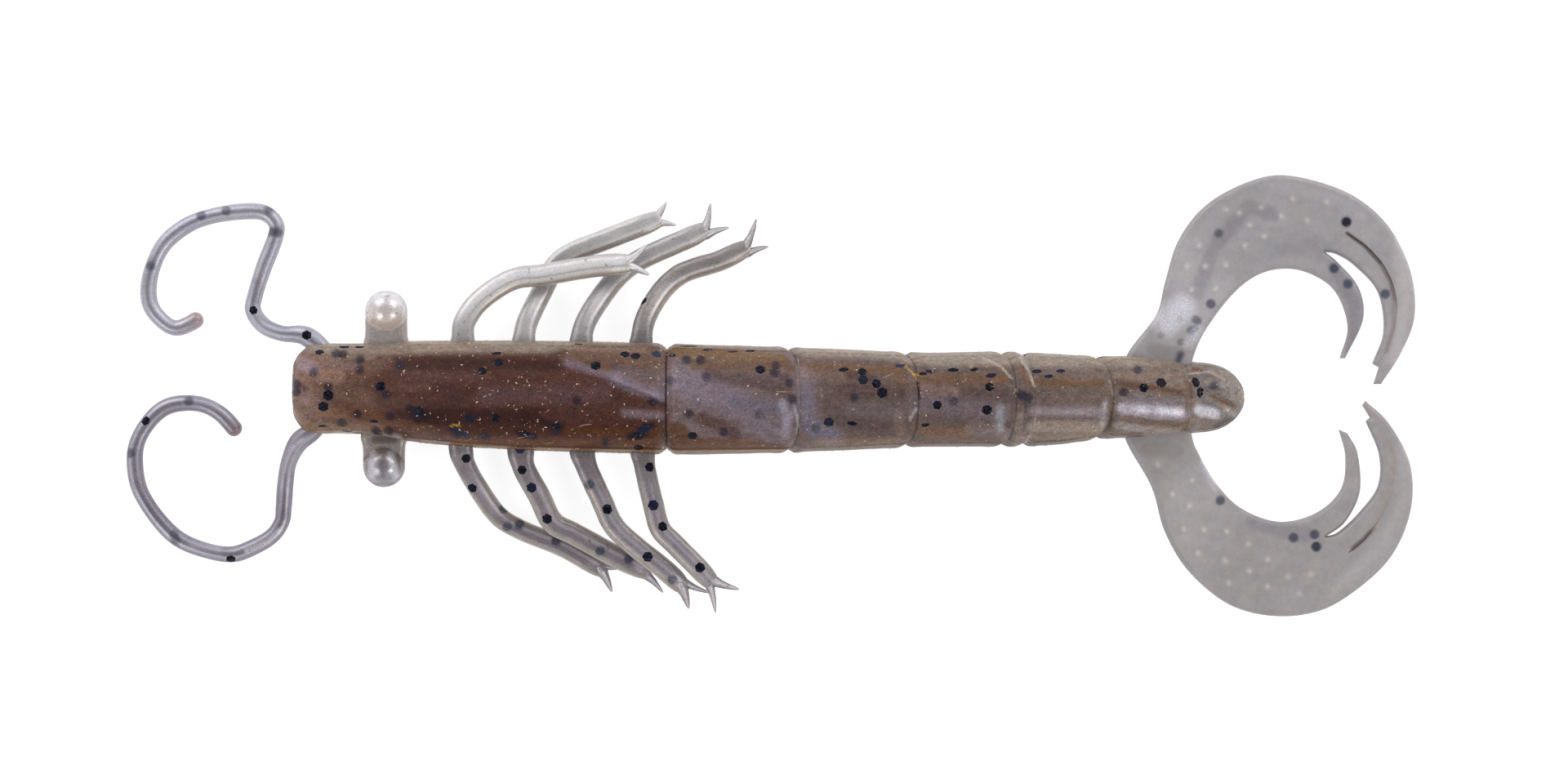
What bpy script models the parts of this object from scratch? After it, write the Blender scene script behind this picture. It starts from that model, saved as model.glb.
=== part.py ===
"""Soft plastic shrimp fishing lure, lying on its belly.

A ringed body with two eyes on stalks, two curled feelers, eight forked legs and two slit tail claws.
Metres, +Z up, nose at -X. Z = 0 is the surface that it lies on, and the lure's right side is +Y.
"""

import math

import bmesh
import bpy
import numpy as np
from mathutils import Matrix, Vector

MM = 0.001
ROOT_GAP = 0.3  # left between the body and each piece that grows out of it
WELD = 1e-7  # metres, joins the loose end caps of a curve to its sides

# Sizes and places below are in millimetres.

# Body: x, half width, and how far the middle lies to +Y
NOSE_X = -42.3
TAIL_X = 42.15
BODY_STATIONS = (
    (-42.3, 4.1, 0.9),
    (-39.0, 4.0, 1.0),
    (-35.9, 4.05, 0.95),
    (-31.9, 4.45, 0.75),
    (-24.2, 4.8, 0.45),
    (-15.5, 4.9, 0.25),
    (-7.9, 4.9, 0.05),
    (-1.4, 4.75, 0.0),
    (7.3, 4.45, 0.0),
    (12.6, 4.2, 0.0),
    (19.3, 4.2, 0.05),
    (25.8, 4.0, 0.05),
    (29.3, 3.65, 0.2),
    (31.3, 3.65, 0.25),
    (37.5, 3.15, 0.2),
    (42.15, 3.05, 0.2),
)
BELLY_TO_WIDEST = 0.79  # height of the widest line, as a share of the half width
WIDEST_TO_BACK = 0.97  # rise of the back above that line, as a share of the half width
BELLY_CUT = 1.25  # how far the round belly would reach under the surface, before it is cut flat
NOSE_ROUND_X, NOSE_ROUND_Y = 2.2, 2.4
TELSON_X = 38.2  # where the round end of the telson starts
TELSON_POWER = 2.2
TELSON_DROP_X, TELSON_DROP_LENGTH, TELSON_DROP = 36.6, 2.0, 0.35
BODY_SIDES = 24
RING_SPACING = 2.4

# Grooves between the body's rings: x on the back, how far the groove bows back there, depth
GROOVES = (
    (-9.2, 0.0, 0.4),
    (2.6, 1.25, 0.3),
    (13.0, 1.3, 0.3),
    (21.6, 1.4, 0.25),
    (23.2, 1.0, 0.25),
    (30.2, 1.7, 0.3),
    (37.1, 0.9, 0.15),
)
GROOVE_WIDTH = 0.55
GROOVE_RINGS = (-0.9, -0.45, 0.0, 0.45, 0.9)
BOW_SHAPE = 0.6  # under 1, the groove stays bowed over the back and turns forward at the sides

# Eyes: middle of the ball, in plan, and the y of the root, inside the body
BALL_RADIUS = 1.9
STALK_WIDTH, STALK_THICKNESS = 3.75, 1.7
EYE_Z = 3.5
EYES = {
    "eye_right": ((-34.1, 7.85), 2.5),
    "eye_left": ((-34.3, -5.9), -1.0),
}

# Feelers: routes from inside the nose to the tip
FEELER_RADIUS = 0.72
FEELER_SPACING = 1.4
FEELERS = {
    "feeler_right": (
        (-38.8, 3.6, 3.3),
        (-41.2, 5.6, 2.9),
        (-43.5, 5.9, 2.2),
        (-45.2, 6.6, 1.5),
        (-46.2, 7.9, 1.0),
        (-46.1, 9.2, 0.8),
        (-45.3, 11.8, 0.75),
        (-44.3, 14.4, 0.75),
        (-44.2, 15.7, 0.75),
        (-45.3, 16.7, 0.75),
        (-47.3, 16.8, 0.75),
        (-49.9, 16.4, 0.75),
        (-52.1, 15.6, 0.75),
        (-54.1, 14.0, 0.75),
        (-55.2, 11.9, 0.75),
        (-55.6, 9.8, 0.75),
        (-55.3, 8.2, 0.75),
        (-54.2, 6.9, 0.75),
        (-53.1, 6.4, 0.75),
        (-51.9, 6.8, 0.75),
        (-50.8, 7.5, 0.75),
    ),
    "feeler_left": (
        (-39.5, -1.6, 3.3),
        (-40.7, -2.8, 3.1),
        (-42.0, -3.8, 2.7),
        (-42.9, -5.5, 2.0),
        (-43.3, -7.4, 1.3),
        (-43.5, -9.5, 0.85),
        (-43.7, -10.9, 0.75),
        (-44.6, -12.2, 0.75),
        (-46.3, -13.2, 0.75),
        (-48.1, -13.8, 0.75),
        (-50.3, -13.5, 0.75),
        (-52.8, -12.5, 0.75),
        (-54.7, -10.7, 0.75),
        (-56.3, -8.2, 0.75),
        (-56.8, -5.9, 0.75),
        (-56.6, -3.8, 0.75),
        (-55.5, -1.9, 0.75),
        (-54.1, -0.7, 0.75),
        (-52.4, -0.3, 0.75),
        (-50.6, -0.5, 0.75),
        (-49.0, -1.4, 0.75),
        (-47.5, -3.1, 0.75),
    ),
}

# Legs: half width, route from inside the body to the fork, and the tips of the two prongs.
# Where two legs cross in plan, their heights keep them apart.
LEG_FLATNESS = 0.75  # height of a leg's section over its width
LEG_SPACING = 1.5
PRONG_ROOT_RADIUS, PRONG_TIP_RADIUS = 0.45, 0.12
PRONG_SIDES = 8
LEGS = {
    "leg_right_1": (
        0.98,
        (
            (-27.4, 3.0, 3.9),
            (-27.3, 5.2, 3.9),
            (-27.1, 7.0, 3.8),
            (-25.6, 9.0, 3.4),
            (-22.9, 10.7, 2.9),
            (-20.2, 11.1, 2.7),
            (-16.1, 11.8, 2.65),
            (-13.0, 12.1, 2.65),
        ),
        ((-11.0, 13.8, 2.5), (-10.8, 11.1, 2.3)),
    ),
    "leg_right_2": (
        0.95,
        (
            (-21.9, 3.0, 3.9),
            (-21.9, 5.2, 3.8),
            (-21.6, 7.0, 2.9),
            (-20.4, 9.7, 1.3),
            (-19.3, 11.9, 0.8),
            (-17.8, 13.1, 0.8),
            (-14.8, 14.3, 0.8),
            (-10.4, 16.0, 0.8),
        ),
        ((-9.3, 17.7, 0.7), (-8.4, 15.6, 0.7)),
    ),
    "leg_right_3": (
        0.95,
        (
            (-16.8, 3.0, 3.9),
            (-16.8, 5.2, 3.8),
            (-16.4, 7.0, 2.9),
            (-14.9, 9.5, 1.4),
            (-13.4, 11.3, 0.8),
            (-11.5, 12.6, 0.8),
            (-7.5, 14.4, 0.8),
            (-6.2, 15.0, 0.8),
        ),
        ((-5.4, 17.6, 0.7), (-3.7, 15.4, 0.7)),
    ),
    "leg_right_4": (
        0.93,
        (
            (-11.5, 3.0, 3.9),
            (-11.5, 5.1, 3.8),
            (-11.1, 7.3, 3.0),
            (-9.8, 9.6, 1.6),
            (-8.4, 11.0, 0.9),
            (-6.9, 11.7, 0.8),
            (-4.6, 12.4, 0.8),
            (-2.5, 13.4, 0.8),
        ),
        ((-1.3, 16.2, 0.7), (-0.2, 13.7, 0.7)),
    ),
    "leg_left_1": (
        0.9,
        (
            (-27.5, -2.2, 3.9),
            (-27.5, -4.0, 3.8),
            (-27.2, -5.6, 3.2),
            (-26.1, -7.8, 2.0),
            (-24.4, -10.3, 0.9),
            (-22.4, -11.6, 0.75),
            (-18.5, -13.2, 0.75),
            (-15.4, -15.0, 0.75),
        ),
        ((-14.2, -17.2, 0.55), (-13.5, -15.1, 0.5)),
    ),
    "leg_left_2": (
        1.0,
        (
            (-22.2, -2.2, 3.9),
            (-22.2, -4.0, 3.9),
            (-21.9, -6.0, 3.6),
            (-20.6, -8.5, 2.9),
            (-19.4, -10.9, 2.3),
            (-17.4, -12.0, 2.15),
            (-13.9, -13.9, 2.1),
            (-11.3, -15.1, 2.0),
        ),
        ((-9.6, -17.2, 1.5), (-9.0, -15.9, 1.5)),
    ),
    "leg_left_3": (
        0.95,
        (
            (-16.8, -2.2, 3.9),
            (-16.8, -4.1, 3.9),
            (-16.3, -6.0, 3.85),
            (-15.0, -8.9, 3.7),
            (-13.9, -11.2, 3.6),
            (-11.9, -13.1, 3.55),
            (-9.5, -15.0, 3.4),
            (-8.1, -16.3, 3.25),
        ),
        ((-7.3, -18.6, 2.6), (-5.3, -17.2, 2.6)),
    ),
    "leg_left_4": (
        0.93,
        (
            (-11.4, -2.2, 3.9),
            (-11.4, -4.1, 3.95),
            (-11.1, -6.3, 4.0),
            (-10.4, -9.3, 4.1),
            (-9.8, -11.4, 4.15),
            (-8.5, -12.8, 4.2),
            (-6.8, -14.5, 4.2),
            (-5.5, -15.9, 4.2),
        ),
        ((-4.9, -18.9, 3.8), (-2.8, -16.8, 3.9)),
    ),
}

# Tail claws: outline in plan. True marks a corner, False a point on a smooth stretch.
CLAW_THICKNESS = 1.2
CLAW_EDGE = 0.15  # rounding of the outline's edges
CLAW_CURVE_STEPS = 3
CLAW_ROOT = (34.5, 3.7)  # x, and y outwards, of the root's middle
CLAW_ROOT_Z = 2.7
CLAW_SAG_START, CLAW_SAG_END = 2.2, 11.5  # distance out from the root at 45 degrees
CLAW_SAG_CUTS = 9
CLAWS = {
    "tail_claw_right": (
        (32.0, 1.4, True),
        (31.6, 3.9, True),
        (34.2, 7.5, False),
        (35.1, 10.6, False),
        (36.4, 14.3, False),
        (39.0, 17.5, False),
        (43.0, 19.6, False),
        (46.5, 20.0, False),
        (51.5, 18.5, False),
        (55.0, 15.7, False),
        (57.1, 11.6, False),
        (57.5, 7.5, False),
        (56.3, 4.2, False),
        (54.5, 1.4, True),
        (53.8, 1.4, True),
        (54.3, 2.9, True),
        (53.7, 3.2, True),
        (54.7, 6.1, False),
        (54.2, 9.6, False),
        (52.1, 12.0, False),
        (50.5, 13.0, False),
        (49.5, 13.2, True),
        (50.7, 12.2, False),
        (52.5, 10.0, False),
        (52.9, 7.2, False),
        (51.3, 3.7, True),
        (50.8, 3.7, True),
        (51.5, 6.5, False),
        (50.5, 9.5, False),
        (48.5, 11.1, False),
        (46.0, 11.7, False),
        (43.4, 11.1, False),
        (41.0, 9.2, False),
        (38.6, 6.1, False),
        (37.5, 3.7, True),
        (37.1, 1.4, True),
    ),
    "tail_claw_left": (
        (31.9, -1.1, True),
        (31.5, -3.5, True),
        (33.8, -7.7, False),
        (35.0, -11.6, False),
        (37.1, -15.1, False),
        (40.4, -18.0, False),
        (43.8, -19.2, False),
        (47.6, -19.2, False),
        (51.0, -17.9, False),
        (55.1, -14.4, False),
        (57.1, -10.1, False),
        (57.1, -5.8, False),
        (55.2, -2.1, False),
        (53.1, -0.1, True),
        (52.8, -0.5, True),
        (53.5, -1.6, True),
        (53.1, -1.9, True),
        (54.3, -4.9, False),
        (54.2, -7.7, False),
        (52.6, -10.0, False),
        (50.7, -11.8, False),
        (49.6, -12.2, True),
        (51.3, -10.9, False),
        (52.6, -8.2, False),
        (52.4, -4.8, False),
        (51.5, -3.0, True),
        (50.7, -2.65, True),
        (51.3, -5.1, False),
        (50.9, -8.0, False),
        (48.7, -10.1, False),
        (45.4, -10.9, False),
        (42.0, -9.7, False),
        (39.6, -7.4, False),
        (37.9, -4.6, False),
        (37.4, -3.2, True),
        (37.1, -1.1, True),
    ),
}

# Colour and roughness of each part's plastic
BODY_FINISH = ((0.20, 0.11, 0.07), 0.35)
LIMB_FINISH = ((0.40, 0.36, 0.34), 0.35)
CLAW_FINISH = ((0.38, 0.35, 0.34), 0.30)


def new_collection(name):
    collection = bpy.data.collections.new(name)
    bpy.context.scene.collection.children.link(collection)
    return collection


def plastic(name, finish):
    colour, roughness = finish
    material = bpy.data.materials.new(name)
    material.use_nodes = True
    shader = material.node_tree.nodes["Principled BSDF"]
    shader.inputs["Base Color"].default_value = (*colour, 1.0)
    shader.inputs["Roughness"].default_value = roughness
    shader.inputs["Metallic"].default_value = 0.0
    return material


def add_object(name, mesh, collection, finish=None):
    obj = bpy.data.objects.new(name, mesh)
    collection.objects.link(obj)
    if finish is not None:
        mesh.materials.clear()
        mesh.materials.append(plastic(name + " plastic", finish))
        mesh.shade_smooth()
        mesh.set_sharp_from_angle(angle=math.radians(40))
    return obj


def smooth_through(x, stations, column):
    """A smooth curve through one column of a table of stations, read at x."""
    table = np.asarray(stations)
    at, value = table[:, 0], table[:, column]
    slope = np.gradient(value, at)
    x = np.clip(x, at[0], at[-1])
    i = np.clip(np.searchsorted(at, x) - 1, 0, len(at) - 2)
    span = at[i + 1] - at[i]
    t = (x - at[i]) / span
    rise = value[i + 1] - value[i]
    ease = t * t * (3 - 2 * t)
    return value[i] + rise * ease + span * t * (1 - t) * ((1 - t) * slope[i] - t * slope[i + 1])


def smooth_step(t):
    t = np.clip(t, 0.0, 1.0)
    return t * t * (3 - 2 * t)


def end_share(x):
    """How much of the full section is left at x, where the nose and the telson round off."""
    half = smooth_through(x, BODY_STATIONS, 1)
    from_nose = np.clip((x - NOSE_X) / NOSE_ROUND_X, 0.0, 1.0)
    nose = 1 - NOSE_ROUND_Y / half * (1 - np.sqrt(1 - (1 - from_nose) ** 2))
    along_telson = np.clip((x - TELSON_X) / (TAIL_X - TELSON_X), 0.0, 1.0)
    return nose * np.sqrt(1 - along_telson**TELSON_POWER)


def body_surface(ridge_x, angle, grow):
    """Points of the body's skin, moved out by grow.

    ridge_x is the x of a ring on the back, and angle runs round the ring from +Y over the back.
    A ring leans forward at the sides by its groove's bow.
    """
    grooves = np.asarray(GROOVES)
    bow_x = (NOSE_X, *grooves[:, 0], TAIL_X)
    bow = np.interp(ridge_x, bow_x, (0.0, *grooves[:, 1], 0.0))
    rise = np.sin(angle)
    x = ridge_x - bow * (1 - np.clip(rise, 0.0, 1.0) ** BOW_SHAPE)
    nearness = np.exp(-(((ridge_x[..., None] - grooves[:, 0]) / GROOVE_WIDTH) ** 2))
    groove = nearness @ grooves[:, 2]
    full_half = smooth_through(x, BODY_STATIONS, 1)
    lowered = 1 - TELSON_DROP * smooth_step((x - TELSON_DROP_X) / TELSON_DROP_LENGTH)
    widest_z = BELLY_TO_WIDEST * full_half * lowered
    share = end_share(x)
    half = full_half * share - groove + grow
    back = WIDEST_TO_BACK * full_half * lowered * share - groove + grow
    y = smooth_through(x, BODY_STATIONS, 2) + half * np.cos(angle)
    belly = np.maximum(widest_z * (1 + BELLY_CUT * share * rise), 0.0) - grow
    z = np.where(rise >= 0, widest_z + back * rise, np.minimum(belly, widest_z))
    return np.stack((x, y, z), axis=-1)


def ring_places():
    """Where the body's rings lie on the back: close at the round ends and in each groove."""
    nose = NOSE_X + NOSE_ROUND_X * (1 - np.cos(np.linspace(0, math.pi / 2, 6)))
    telson = TELSON_X + (TAIL_X - TELSON_X) * np.sin(np.linspace(0, math.pi / 2, 8)[:-1])
    telson = np.append(telson, TAIL_X - 0.02)
    grooves = [groove[0] + step for groove in GROOVES for step in GROOVE_RINGS]
    close = np.sort(np.concatenate((nose, grooves, telson)))
    close = close[np.append(True, np.diff(close) > 0.2) | (close > telson[-3])]
    places = [close[:1]]
    for start, end in zip(close[:-1], close[1:]):
        steps = max(1, round((end - start) / RING_SPACING))
        places.append(np.linspace(start, end, steps + 1)[1:])
    return np.concatenate(places)


def body_mesh(name, grow):
    """The body as a loft of rings, closed by a flat face at each end."""
    places = ring_places()
    angles = np.arange(BODY_SIDES) * 2 * math.pi / BODY_SIDES
    ridge_x, angle = np.meshgrid(places, angles, indexing="ij")
    points = body_surface(ridge_x, angle, grow)
    points[0, :, 0] -= grow
    points[-1, :, 0] += grow
    ring, side = np.meshgrid(np.arange(len(places) - 1), np.arange(BODY_SIDES), indexing="ij")
    after = (side + 1) % BODY_SIDES
    first, second = ring * BODY_SIDES, (ring + 1) * BODY_SIDES
    quads = np.stack((first + side, first + after, second + after, second + side), axis=-1)
    ends = [list(range(BODY_SIDES))[::-1]]
    ends.append(list(range((len(places) - 1) * BODY_SIDES, len(places) * BODY_SIDES)))
    mesh = bpy.data.meshes.new(name)
    mesh.from_pydata((points.reshape(-1, 3) * MM).tolist(), [], quads.reshape(-1, 4).tolist() + ends)
    face_outwards(mesh)
    return mesh


def face_outwards(mesh):
    shape = bmesh.new()
    shape.from_mesh(mesh)
    bmesh.ops.remove_doubles(shape, verts=shape.verts, dist=WELD)
    bmesh.ops.recalc_face_normals(shape, faces=shape.faces)
    shape.to_mesh(mesh)
    shape.free()


def curve_to_mesh(curve, name):
    """The curve's solid as a mesh, with its caps welded on. The curve itself is removed."""
    obj = bpy.data.objects.new(name + " curve", curve)
    bpy.context.scene.collection.objects.link(obj)
    bpy.context.view_layer.update()
    mesh = bpy.data.meshes.new_from_object(obj.evaluated_get(bpy.context.evaluated_depsgraph_get()))
    mesh.name = name
    bpy.data.objects.remove(obj)
    bpy.data.curves.remove(curve)
    face_outwards(mesh)
    return mesh


def smooth_route(points, spacing, end_radius):
    """Points along a smooth curve through the given ones, closer together at its round end.

    Returns the points and the share of the full radius that each one has.
    """
    knots = np.asarray(points)
    guides = np.vstack((2 * knots[0] - knots[1], knots, 2 * knots[-1] - knots[-2]))
    t = np.linspace(0, 1, 16, endpoint=False)[:, None]
    before, start, end, after = (guides[k : len(knots) - 1 + k, None] for k in range(4))
    bend = (2 * before - 5 * start + 4 * end - after) * t + (3 * (start - end) + after - before) * t * t
    spans = start + 0.5 * t * (end - before + bend)
    fine = np.vstack((spans.reshape(-1, 3), knots[-1:]))
    length = np.append(0.0, np.cumsum(np.linalg.norm(np.diff(fine, axis=0), axis=1)))
    straight = length[-1] - end_radius
    along = np.linspace(0.0, straight, 1 + round(straight / spacing))
    around_end = end_radius * np.sin(np.radians((30.0, 58.0, 80.0)))
    along = np.concatenate((along, straight + around_end))
    share = np.sqrt(1 - np.clip((along - straight) / end_radius, 0.0, 1.0) ** 2)
    route = np.column_stack([np.interp(along, length, fine[:, axis]) for axis in range(3)])
    return route, share


def tube_mesh(name, points, radius, spacing, flatness=1.0):
    """A round-ended tube along a smooth route, its section flattened to the given height over width."""
    route, share = smooth_route(np.asarray(points), spacing, radius)
    curve = bpy.data.curves.new(name, "CURVE")
    curve.dimensions = "3D"
    curve.twist_mode = "Z_UP"
    curve.bevel_depth = radius * MM
    curve.bevel_resolution = 2
    curve.use_fill_caps = True
    spline = curve.splines.new("POLY")
    spline.points.add(len(route) - 1)
    for point, (x, y, z), size in zip(spline.points, route, share):
        point.co = (x * MM, y * MM, z * MM / flatness, 1.0)
        point.radius = size
    mesh = curve_to_mesh(curve, name)
    mesh.transform(Matrix.Diagonal((1.0, 1.0, flatness, 1.0)))
    return mesh


def prong_mesh(name, start, tip):
    """A thin cone from inside the leg's end to the prong's tip."""
    start, tip = Vector(start) * MM, Vector(tip) * MM
    reach = tip - start
    turn = reach.to_track_quat("Z", "Y").to_matrix().to_4x4()
    shape = bmesh.new()
    bmesh.ops.create_cone(
        shape,
        cap_ends=True,
        segments=PRONG_SIDES,
        radius1=PRONG_ROOT_RADIUS * MM,
        radius2=PRONG_TIP_RADIUS * MM,
        depth=reach.length,
        matrix=Matrix.Translation((start + tip) / 2) @ turn,
    )
    mesh = bpy.data.meshes.new(name)
    shape.to_mesh(mesh)
    shape.free()
    return mesh


def helper(name, mesh, collection):
    """An object that only shapes others: it isn't part of the lure."""
    obj = add_object(name, mesh, collection)
    obj.hide_render = True
    obj.display_type = "WIRE"
    return obj


def combine(obj, other, operation):
    modifier = obj.modifiers.new(other.name, "BOOLEAN")
    modifier.operation = operation
    modifier.solver = "EXACT"
    modifier.object = other


def make_eye(name, ball, root_y, parts, cutters):
    """A flat stalk with a round end, and the ball that stands out of its two faces."""
    x, y = ball
    stalk = bmesh.new()
    middle = Matrix.Translation((x * MM, y * MM, EYE_Z * MM))
    bmesh.ops.create_cone(
        stalk,
        cap_ends=True,
        segments=24,
        radius1=STALK_WIDTH / 2 * MM,
        radius2=STALK_WIDTH / 2 * MM,
        depth=STALK_THICKNESS * MM,
        matrix=middle,
    )
    rim = [v for v in stalk.verts if (v.co.y / MM - y) * (root_y - y) > 0.01]
    for vertex in rim:
        vertex.co.x = (x + math.copysign(STALK_WIDTH / 2, vertex.co.x / MM - x)) * MM
        vertex.co.y = root_y * MM
    mesh = bpy.data.meshes.new(name)
    bmesh.ops.remove_doubles(stalk, verts=stalk.verts, dist=WELD)
    stalk.to_mesh(mesh)
    stalk.free()
    sphere = bmesh.new()
    bmesh.ops.create_uvsphere(sphere, u_segments=20, v_segments=11, radius=BALL_RADIUS * MM, matrix=middle)
    ball_mesh = bpy.data.meshes.new(name + " ball")
    sphere.to_mesh(ball_mesh)
    sphere.free()
    eye = add_object(name, mesh, parts, LIMB_FINISH)
    combine(eye, helper(name + " ball", ball_mesh, cutters), "UNION")
    return eye


def make_leg(name, half_width, route, tips, parts, cutters):
    """A bent leg with an oval section, and its two prongs."""
    mesh = tube_mesh(name, route, half_width, LEG_SPACING, LEG_FLATNESS)
    leg = add_object(name, mesh, parts, LIMB_FINISH)
    end = Vector(route[-1])
    inside = end + (Vector(route[-2]) - end).normalized() * 2 * PRONG_ROOT_RADIUS
    for number, tip in enumerate(tips, 1):
        prong = prong_mesh(f"{name} prong {number}", inside, tip)
        combine(leg, helper(prong.name, prong, cutters), "UNION")
    return leg


def make_feeler(name, route, parts):
    mesh = tube_mesh(name, route, FEELER_RADIUS, FEELER_SPACING)
    return add_object(name, mesh, parts, LIMB_FINISH)


def sag_claw(mesh):
    """Bends the flat plate down from its root until it lies on the surface.

    The plate is first cut across at even steps, so that each strip of it stays flat.
    """
    shape = bmesh.new()
    shape.from_mesh(mesh)
    side = math.copysign(1.0, sum(v.co.y for v in shape.verts))
    out = Vector((1.0, side, 0.0)).normalized()
    root = Vector((CLAW_ROOT[0], side * CLAW_ROOT[1], 0.0)) * MM
    for step in np.linspace(CLAW_SAG_START, CLAW_SAG_END, CLAW_SAG_CUTS):
        everything = shape.verts[:] + shape.edges[:] + shape.faces[:]
        place = root + out * float(step) * MM
        bmesh.ops.bisect_plane(shape, geom=everything, dist=WELD, plane_co=place, plane_no=out)
    drop = CLAW_ROOT_Z - CLAW_THICKNESS / 2
    for vertex in shape.verts:
        reach = (vertex.co - root).dot(out) / MM
        sag = smooth_step((reach - CLAW_SAG_START) / (CLAW_SAG_END - CLAW_SAG_START))
        vertex.co.z += (CLAW_ROOT_Z - drop * float(sag)) * MM
    shape.to_mesh(mesh)
    shape.free()


def make_claw(name, outline, parts):
    """A flat crescent blade, slit into fingers."""
    curve = bpy.data.curves.new(name, "CURVE")
    curve.dimensions = "2D"
    curve.fill_mode = "BOTH"
    curve.extrude = (CLAW_THICKNESS / 2 - CLAW_EDGE) * MM
    curve.bevel_depth = CLAW_EDGE * MM
    curve.bevel_resolution = 0
    curve.offset = -CLAW_EDGE * MM
    curve.resolution_u = CLAW_CURVE_STEPS
    spline = curve.splines.new("BEZIER")
    spline.use_cyclic_u = True
    spline.bezier_points.add(len(outline) - 1)
    for point, (x, y, corner) in zip(spline.bezier_points, outline):
        point.co = (x * MM, y * MM, 0.0)
        handle = "VECTOR" if corner else "AUTO"
        point.handle_left_type = point.handle_right_type = handle
    mesh = curve_to_mesh(curve, name)
    sag_claw(mesh)
    return add_object(name, mesh, parts, CLAW_FINISH)


def main():
    for obj in list(bpy.data.objects):
        bpy.data.objects.remove(obj)
    parts = new_collection("Shrimp lure")
    cutters = new_collection("Cutters")
    add_object("body", body_mesh("body", 0.0), parts, BODY_FINISH)
    clearance = helper("body clearance", body_mesh("body clearance", ROOT_GAP), cutters)
    grown = [make_eye(name, ball, root_y, parts, cutters) for name, (ball, root_y) in EYES.items()]
    grown += [make_feeler(name, route, parts) for name, route in FEELERS.items()]
    grown += [make_leg(name, *leg, parts, cutters) for name, leg in LEGS.items()]
    grown += [make_claw(name, outline, parts) for name, outline in CLAWS.items()]
    for piece in grown:
        combine(piece, clearance, "DIFFERENCE")


main()
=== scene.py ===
"""Looks of a soft plastic shrimp lure, lying on its belly and seen from straight above.

Each piece is a surface worked out with numpy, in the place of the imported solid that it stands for.
Lengths are millimetres until a mesh is stored, and metres after that. The nose points to -X, and the
lure's right side is +Y. Places read off the photograph are pixels of its 1920 x 960 frame.
"""

import logging
import math
from collections.abc import Sequence
from dataclasses import dataclass, field
from enum import Enum

import bmesh
import bpy
import numpy as np
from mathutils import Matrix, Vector


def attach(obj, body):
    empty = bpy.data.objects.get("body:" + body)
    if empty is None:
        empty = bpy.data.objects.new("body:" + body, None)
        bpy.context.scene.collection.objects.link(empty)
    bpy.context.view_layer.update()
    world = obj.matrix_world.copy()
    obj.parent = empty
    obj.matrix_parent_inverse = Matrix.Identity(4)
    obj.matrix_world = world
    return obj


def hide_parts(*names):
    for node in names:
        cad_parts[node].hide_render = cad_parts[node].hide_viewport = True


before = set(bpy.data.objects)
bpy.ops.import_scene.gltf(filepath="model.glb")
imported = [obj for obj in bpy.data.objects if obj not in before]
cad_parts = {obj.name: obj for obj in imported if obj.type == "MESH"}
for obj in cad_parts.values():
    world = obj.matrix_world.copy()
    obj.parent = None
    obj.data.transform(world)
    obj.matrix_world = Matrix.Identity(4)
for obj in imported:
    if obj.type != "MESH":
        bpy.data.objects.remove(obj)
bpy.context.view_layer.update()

Array = np.ndarray
Pixels = tuple[float, ...]  # x, y, x, y and so on
Points = tuple[tuple[float, ...], ...]
Colour = tuple[int, int, int]
Socket = bpy.types.NodeSocket

MM = 0.001
BODY_NAME = "root"
log = logging.getLogger("shrimp lure")


class Slot(Enum):
    """The record's material slots."""

    BODY = "body_plastic"
    LIMB = "limb_plastic"
    CLAW = "claw_plastic"


class Side(Enum):
    """The lure's two sides, as the sign of y."""

    RIGHT = 1
    LEFT = -1

    @property
    def word(self) -> str:
        """The side in lower case, as the names of pieces and nodes have it."""
        return self.name.lower()


@dataclass(frozen=True)
class PhotoScale:
    """Where a pixel of the photograph lies on the lure, in plan."""

    origin: tuple[float, float] = (944.0, 489.5)
    mm_per_pixel: float = 0.0726

    def plan(self, pixels: Sequence[float]) -> Array:
        """Turns pixels, x and y in turn, into rows of x to the right and y upwards, in millimetres."""
        return (np.reshape(pixels, (-1, 2)) - self.origin) * (self.mm_per_pixel, -self.mm_per_pixel)


PHOTO = PhotoScale()


def linear(colour: Sequence[float]) -> Array:
    """Turns a screen colour of 0 to 255 into linear light, by the power 2.4 of the sRGB curve."""
    share = np.asarray(colour, float) / 255
    return np.where(share <= 0.04045, share / 12.92, ((share + 0.055) / 1.055) ** 2.4)


def opaque(colour: Sequence[float]) -> tuple[float, ...]:
    """A screen colour as a shader takes it: linear light, and an alpha of 1."""
    return (*linear(colour), 1.0)


def mix(tint: Array, colour: Sequence[float], share: Array) -> Array:
    """Takes a tint towards a screen colour, by a share of the way at each point."""
    return tint * (1 - share[:, None]) + linear(colour) * share[:, None]


def smooth_step(t: Array) -> Array:
    """Rises from 0 to 1 as t does: three t squared less two t cubed, flat outside."""
    t = np.clip(t, 0.0, 1.0)
    return t * t * (3 - 2 * t)


def hump(distance: Array, width: float) -> Array:
    """A bell of height 1: e to the minus the square of distance over width."""
    return np.exp(-((distance / width) ** 2))


def smooth_through(x: Array, stations: Array, column: int) -> Array:
    """Reads one column of a table of stations at x, along a smooth curve.

    Between two stations the curve is the cubic that has their values and their mean slopes.

    Args:
        x: Where to read.
        stations: Rows that start with their own x.
        column: The value to read.

    Returns:
        The value at each x.
    """
    at, value = stations[:, 0], stations[:, column]
    slope = np.gradient(value, at)
    x = np.clip(x, at[0], at[-1])
    i = np.clip(np.searchsorted(at, x) - 1, 0, len(at) - 2)
    span = at[i + 1] - at[i]
    t = (x - at[i]) / span
    rise = value[i + 1] - value[i]
    bend = span * t * (1 - t) * ((1 - t) * slope[i] - t * slope[i + 1])
    return value[i] + rise * smooth_step(t) + bend


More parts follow.
